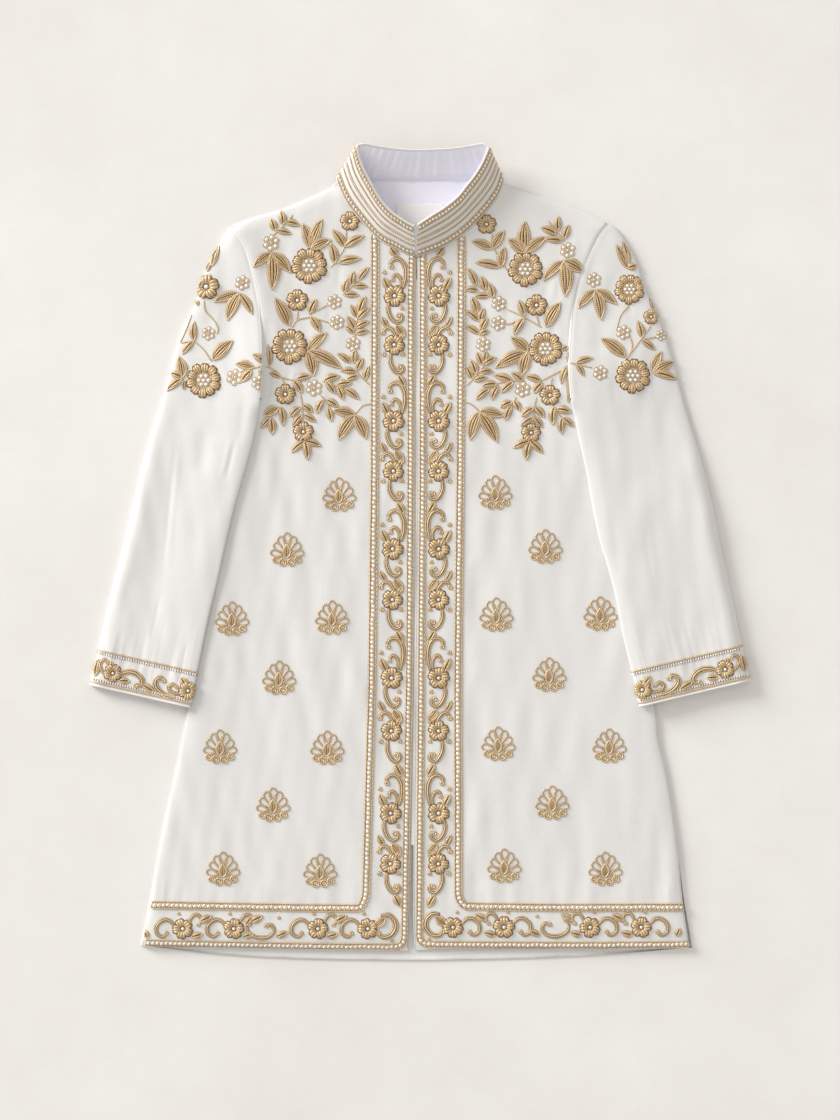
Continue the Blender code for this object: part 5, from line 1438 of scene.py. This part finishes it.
        # A mid-gold ground under the beads: the braid's own gold, kept darker than the cords as painted shade
        # between the beads.
        gold_and_shade_ground = ((-0.97, 0.05), (-0.5, 0.5), (0.5, 0.5), (0.97, 0.05))
        self.strip(path, side, np.full(len(path), half), gold_and_shade_ground, 0.25, 0.52)
        lengths = lengths_along(path)
        place, thick = cords
        for v in (-place, place):
            turn = lengths / pitch * 2 * np.pi
            swell = 1 + 0.22 * np.sin(turn + v * 2)
            sway = side * (half * (v - 0.05 * v * np.sin(turn)))[:, None]
            self.cord(path + sway, thick * half * swell, 0.5, pitch=pitch / 2, taper=False, height=1.3,
                      tone=1.2)
        count = int(lengths[-1] / pitch)
        chance = np.random.default_rng(count)
        for k in range(count):
            place = (k + 0.5) / count * lengths[-1]
            x, y, way_x, way_y = (np.interp(place, lengths, row) for row in (*path.T, *run.T))
            spot, way, cross = np.array([x, y]), np.array([way_x, way_y]), np.array([-way_y, way_x])
            lean = chance.uniform(0.6, 1.0)
            drift = half * chance.uniform(-0.10, 0.10)
            angle = math.atan2(way_y, way_x) + lean
            self.dome(spot + cross * drift, (pitch * 0.47, half * 0.41), 1.5, BEAD, lift=0.7, angle=angle)
            holding = [spot + way * pitch * (0.5 + 0.35 * v) + cross * half * v for v in (-0.62, 0.0, 0.62)]
            self.cord(holding, 0.14 * half, 1.0, pitch=2.0, taper=False, height=1.2, tone=1.25)

    def bead_row(self, path, spacing, size):
        """Round beads, evenly spaced along a path."""
        count = max(2, int(lengths_along(path)[-1] / spacing))
        for place in along(path, np.linspace(0, 1, count)):
            self.dome(place, size, size * 0.95, BEAD, lift=0.15)

    def laid(self, name, place, looks):
        """The finished piece. place turns (x, y, height) into points on the coat."""
        materials = [looks["gold"], looks["white"], looks["beads"]]
        return make_piece(name, place(np.vstack(self.points)), np.vstack(self.faces).tolist(), materials,
                          np.vstack(self.thread), np.concatenate(self.finishes))


def smooth_corners(path):
    """The path with each of its sharp corners rounded off."""
    spacing, reach = 1.5, 3
    dense = along(path, np.linspace(0, 1, int(lengths_along(path)[-1] / spacing)))
    padded = np.vstack([dense[:1].repeat(reach, 0), dense, dense[-1:].repeat(reach, 0)])
    window = 2 * reach + 1
    return np.column_stack([np.convolve(padded[:, k], np.ones(window) / window, "valid") for k in (0, 1)])


def cloth_place(tree):
    """A function that lays points (x, y, height) on a cloth surface from above."""
    def place(points):
        laid = np.empty_like(points)
        for k, (x, y, lift) in enumerate(points):
            spot, normal, _, _ = tree.ray_cast(Vector((x, y, ABOVE_ALL)), DOWN)
            if spot is None:
                spot, normal, _, _ = tree.find_nearest(Vector((x, y, 4.0)))
            if normal.z < 0:
                normal = -normal
            laid[k] = spot + normal * lift
        return laid
    return place


def collar_place():
    """A function that lays (length round the collar, height up it, lift) on its outer face."""
    shares = np.linspace(0, 1, 24)
    grid, normals = collar_middle(shares)
    skin = grid + normals * COLLAR_WALL / 2
    halfway = grid[len(shares) // 2]
    lengths = lengths_along(halfway)
    end_way = (halfway[-1] - halfway[-3]) / np.linalg.norm(halfway[-1] - halfway[-3])

    def place(points):
        station = np.interp(points[:, 0], lengths, np.arange(len(lengths)))
        past_end = np.maximum(0, points[:, 0] - lengths[-1])[:, None]
        row = np.clip(points[:, 1] / COLLAR_TALL, 0, 1) * (len(shares) - 1)
        i, j = np.minimum(row.astype(int), len(shares) - 2), np.minimum(station.astype(int), len(lengths) - 2)
        u, v = (row - i)[:, None], (station - j)[:, None]

        def mix(table):
            return ((1 - u) * (1 - v) * table[i, j] + u * (1 - v) * table[i + 1, j]
                    + (1 - u) * v * table[i, j + 1] + u * v * table[i + 1, j + 1])
        return mix(skin) + mix(normals) * points[:, 2:3] + end_way * past_end
    return place, lengths[-1]


def sew_spray(work, leaves, stems, big, small, rosettes):
    """Leaves, stems and round motifs at their places in the photograph's pixels."""
    for stem in stems:
        work.cord(along(smooth_curve(pixels(stem)), np.linspace(0, 1, 16)), 0.85, 0.1)
    for x0, y0, x1, y1, width in leaves:
        root, tip = pixels([(x0, y0), (x1, y1)])
        work.leaf(root, tip, width * PIXEL, bend=0.05 * math.copysign(1, x1 - x0))
    for x, y, radius in big:
        work.big_flower(pixels((x, y))[0], radius * PIXEL)
    for x, y, radius in small:
        work.small_flower(pixels((x, y))[0], radius * PIXEL)
    for x, y, radius in rosettes:
        work.rosette(pixels((x, y))[0], radius * PIXEL)


def sew_front_band(work, side):
    """Flowers and scrolls between the two braids of a front."""
    top_x, foot_x = BAND_MIDDLES[side]
    for start, following in zip(BAND_STARTS[:-1], BAND_STARTS[1:]):
        stretch = (following - start) / BAND_PERIOD

        def spot(aside, down):
            y = start + down * stretch
            middle = top_x + (foot_x - top_x) * (y - BAND_ROWS[0]) / (BAND_ROWS[1] - BAND_ROWS[0])
            return pixels((middle - side * aside, y))[0]

        def leaf(toward0, down0, toward1, down1, width):
            work.leaf(spot(toward0, down0), spot(toward1, down1), width * PIXEL)

        for width, eye, points in BAND_SCROLLS:
            if start + points[-1][1] * stretch < SCROLL_LIMIT:
                work.crook([spot(*point) for point in points], width * PIXEL, eye * PIXEL)
        for row in BAND_LEAVES:
            if start + row[3] * stretch < LEAF_LIMIT:
                leaf(*row)
        if start == BAND_STARTS[0]:
            leaf(*BAND_TOP_LEAF)
        for aside, down, radius in BAND_DOTS:
            if start + down * stretch < DOT_LIMIT:
                work.knot(spot(aside, down), radius * PIXEL)
        for aside, down, radius in BAND_FLOWERS:
            if start + down * stretch < FLOWER_LIMIT:
                work.small_flower(spot(aside, down), radius * PIXEL, 0.3 + start * 0.1 + down)


# The hem's motifs, from a flower's middle, in pixels toward the front edge and down.
# Scrolls: thickness, size of the eye, then the points of the path.
HEM_OUTER_SCROLL = (4.5, 2.2, [(-7, -1), (-13, -8), (-20, -8.5), (-26, -3), (-26, 4.5), (-20, 8),
                               (-16.5, 4.5)])
HEM_INNER_SCROLL = (3.8, 2.0, [(6, -6), (10, -13), (16, -13.5), (18.5, -8), (15.5, -4)])
HEM_CORNER_SCROLL = (6.0, 2.4, [(13, -13), (21, -13.5), (27, -7), (27, 1), (21, 7.5), (13.5, 8), (10.5, 4)])
HEM_GAP_SCROLL = (4.5, 2.2, [(-19, -3), (-17, 4), (-9, 8.7), (2, 8.2), (8, 2), (5.5, -4), (0.5, -3)])
# Leaves. Columns: root toward, root down, tip toward, tip down, width.
HEM_NEAR_LEAVES = [(17, -7, 29, -13, 7.0), (9, 8, 20, 5, 6.5)]
HEM_CORNER_LEAF = (7, -2, 18, -11, 8.5)
HEM_GAP_LEAVES = [(10, 8, 22, 3, 6.0), (-20, -4, -13, -13, 6.5)]
HEM_END_LEAF = (-35, 9, -39, 1, 6.0)
# Dots. Columns: toward, down, radius in millimetres.
HEM_DOT, HEM_CORNER_DOT, HEM_GAP_DOT = (-4, -15, 1.8), (24, 12, 1.9), (13, -11, 1.9)
HEM_FLOWER_SCALE = 1.12


def sew_hem_band(work, side):
    """Flowers along the hem, each with a scroll on its far side and a hook and leaves on the near one."""
    y = HEM_BAND_Y[side]

    def spot(x, toward, down):
        return pixels((x - side * toward, y + down))[0]

    def scroll(x, shape):
        width, eye, points = shape
        work.crook([spot(x, *point) for point in points], width * PIXEL, eye * PIXEL)

    def leaf(x, row):
        work.leaf(spot(x, *row[:2]), spot(x, *row[2:4]), row[4] * PIXEL)

    def dot(x, row):
        work.knot(spot(x, *row[:2]), row[2])

    for place, (x, radius) in enumerate(HEM_FLOWERS[side]):
        scroll(x, HEM_OUTER_SCROLL)
        if place:
            scroll(x, HEM_INNER_SCROLL)
            for row in HEM_NEAR_LEAVES:
                leaf(x, row)
        work.small_flower(spot(x, 0, 0), radius * PIXEL * HEM_FLOWER_SCALE, x * 0.21)
        dot(x, HEM_DOT)
    near, far, middle = HEM_FLOWERS[side][0][0], HEM_FLOWERS[side][-1][0], HEM_GAP_MIDDLE[side]
    scroll(near, HEM_CORNER_SCROLL)
    leaf(near, HEM_CORNER_LEAF)
    dot(near, HEM_CORNER_DOT)
    scroll(middle, HEM_GAP_SCROLL)
    for row in HEM_GAP_LEAVES:
        leaf(middle, row)
    dot(middle, HEM_GAP_DOT)
    leaf(far, HEM_END_LEAF)


# Cuff motifs: across from the cuff's outer end as a share of its width, then millimetres up from its edge.
# Scrolls: thickness, size of the eye, then the points of the path.
CUFF_SCROLLS = [
    (4.8, 2.4, [(0.13, 16), (0.07, 22), (0.05, 29), (0.085, 34), (0.118, 31.5)]),
    (7.0, 2.8, [(0.25, 20), (0.33, 25.6), (0.41, 25.8), (0.48, 20.5), (0.485, 13.5), (0.435, 12)]),
    (7.0, 2.8, [(0.84, 9.5), (0.757, 8.6), (0.68, 11.3), (0.625, 17.2), (0.62, 24), (0.66, 27.6),
                (0.692, 25)]),
    (5.4, 2.4, [(0.88, 14), (0.80, 13.4), (0.755, 18.4), (0.785, 23), (0.83, 21)]),
]
# Leaves. Columns: root across, root up, tip across, tip up, width.
CUFF_LEAVES = [(0.025, 12.5, 0.02, 33, 8.0), (0.27, 13.5, 0.37, 15.5, 8.0), (0.50, 15, 0.625, 9.5, 8.5),
               (0.93, 24, 0.85, 33, 9.0), (0.17, 27, 0.15, 33, 5.0)]
CUFF_FLOWERS = [(0.191, 20.3, 10.8), (0.948, 19.5, 11.2)]
# Rows round a cuff, in millimetres up from its edge. Columns: gold cord, beads, white cord.
CUFF_ROWS = [(43.0, 39.9, 38.3), (5.2, 8.3, 9.9)]
CUFF_EDGE_CORD = 1.3


def sew_cuff(work, side):
    """The rows and the scroll band of a cuff."""
    def row(distance):
        outer, inner = cuff_line(side, distance)
        overlap = (outer - inner) * 0.006
        return along(np.array([outer + overlap, inner - overlap]), np.linspace(0, 1, 60))

    def spot(share, up):
        outer, inner = cuff_line(side, up)
        return outer + (inner - outer) * share

    for gold, beads, white in CUFF_ROWS:
        work.cord(row(gold), 1.05, 0.15, taper=False)
        line = row(beads)
        # A strip of painted shade under the beads, which shows in the gaps between them.
        work.painted_shade_bed(line, beside(line)[1], np.full(len(line), 1.25))
        work.bead_row(line, 2.9, 1.22)
        work.cord(row(white), 0.42, 0.1, finish=WHITE, taper=False)
    work.cord(row(CUFF_EDGE_CORD), 1.0, finish=WHITE, taper=False)
    for width, eye, points in CUFF_SCROLLS:
        work.crook([spot(*point) for point in points], width, eye)
    for root_share, root_up, tip_share, tip_up, width in CUFF_LEAVES:
        work.leaf(spot(root_share, root_up), spot(tip_share, tip_up), width)
    for share, up, radius in CUFF_FLOWERS:
        work.small_flower(spot(share, up), radius, 0.9)


# Rows round the collar, in millimetres up from its seam. Columns of the cords: up, radius.
COLLAR_BRAIDS = (5.0, 36.9)
COLLAR_CORDS = [(14.6, 0.75), (15.9, 0.35), (27.8, 0.75), (29.1, 0.35), (20.0, 0.5), (22.4, 0.5)]
COLLAR_BEADS = 21.2
COLLAR_EDGE_CORDS = [(41.6, 0.8), (0.3, 0.7)]
COLLAR_TALL = 42.0


def sew_collar(length):
    """The five rows round the collar."""
    work = Needlework()

    def row(up):
        return along(np.array([(0.3, up), (length + 1.3, up)]), np.linspace(0, 1, 300))

    for up in COLLAR_BRAIDS:
        work.braid(row(up), 7.4, pitch=4.6, cords=(0.88, 0.12))
    for up, radius in COLLAR_CORDS:
        work.cord(row(up), radius, 0.1, taper=False)
    level = row(COLLAR_BEADS)
    # A strip of painted shade under the beads, which shows in the gaps between them.
    work.painted_shade_bed(level, beside(level)[1], np.full(len(level), 1.1))
    work.bead_row(level, 2.5, 0.95)
    for up, radius in COLLAR_EDGE_CORDS:
        work.cord(row(up), radius, 0.2, finish=WHITE, taper=False)
    return work


def stand_for(piece, slot, *nodes):
    """Hides the solids that a piece replaces. Its material slot is not used."""
    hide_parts(*nodes)


def build_side(side, looks):
    """A front, its sleeve and everything sewn on them. Returns the front's laying surface."""
    word = WORDS[side]
    front, front_tree = build_front(side, looks["ivory"])
    stand_for(front, "ivory_cloth", "front_" + word)
    on_front = cloth_place(front_tree)
    sleeve, sleeve_tree = build_sleeve(side, looks["ivory"])
    stand_for(sleeve, "ivory_cloth", "sleeve_" + word)
    on_sleeve = cloth_place(sleeve_tree)
    seam = build_armhole_seam(side, looks["ivory"], front_tree, sleeve_tree)

    chest, butis, band = Needlework(), Needlework(), Needlework()
    sew_spray(chest, *(table[side] for table in CHEST_SPRAY))
    for x, y in BUTIS[side]:
        butis.buti(pixels((x, y))[0])
    sew_front_band(band, side)
    sew_hem_band(band, side)
    sewn = [work.laid(name + word, on_front, looks)
            for name, work in (("chest_embroidery_", chest), ("butis_", butis), ("scroll_band_", band))]
    for kind, path, width in (("edge", EDGE_BRAID, 8.4), ("inner", INNER_BRAID, 9.6)):
        work = Needlework()
        work.braid(pixels(path[side]), width)
        piece = work.laid("sewn_braid_" + kind + "_" + word, on_front, looks)
        stand_for(piece, "gold_thread", "braid_" + kind + "_" + word)
        sewn.append(piece)

    spray, cuff = Needlework(), Needlework()
    sew_spray(spray, *(table[side] for table in SLEEVE_SPRAY))
    sew_cuff(cuff, side)
    spray_piece = spray.laid("sleeve_embroidery_" + word, on_sleeve, looks)
    cuff_piece = cuff.laid("cuff_embroidery_" + word, on_sleeve, looks)
    stand_for(cuff_piece, "gold_thread", "cuff_braid_top_" + word, "cuff_braid_hem_" + word)
    return front_tree


def build_coat():
    """All pieces of the coat, from the back up."""
    looks = build_materials()
    back = build_back(looks["ivory"])
    stand_for(back, "ivory_cloth", "back")
    left_tree, right_tree = (build_side(side, looks) for side in (LEFT, RIGHT))
    fold = build_placket_fold(looks["ivory"], left_tree, right_tree)
    collar = build_collar(looks["ivory"])
    stand_for(collar, "ivory_cloth", "collar")
    place, length = collar_place()
    rows = sew_collar(length).laid("collar_rows", place, looks)
    end = build_collar_end(looks["ivory"])
    collar_lining = build_collar_lining(looks["lining"])
    stand_for(collar_lining, "lining", "collar_lining")
    neck_seam = build_neck_seam(looks["lining"])
    lining, label = build_neck_lining(looks["lining"], looks["label"])
    stand_for(lining, "lining", "back_lining")
    stand_for(label, "label_cloth", "label")


build_coat()
build_stage()
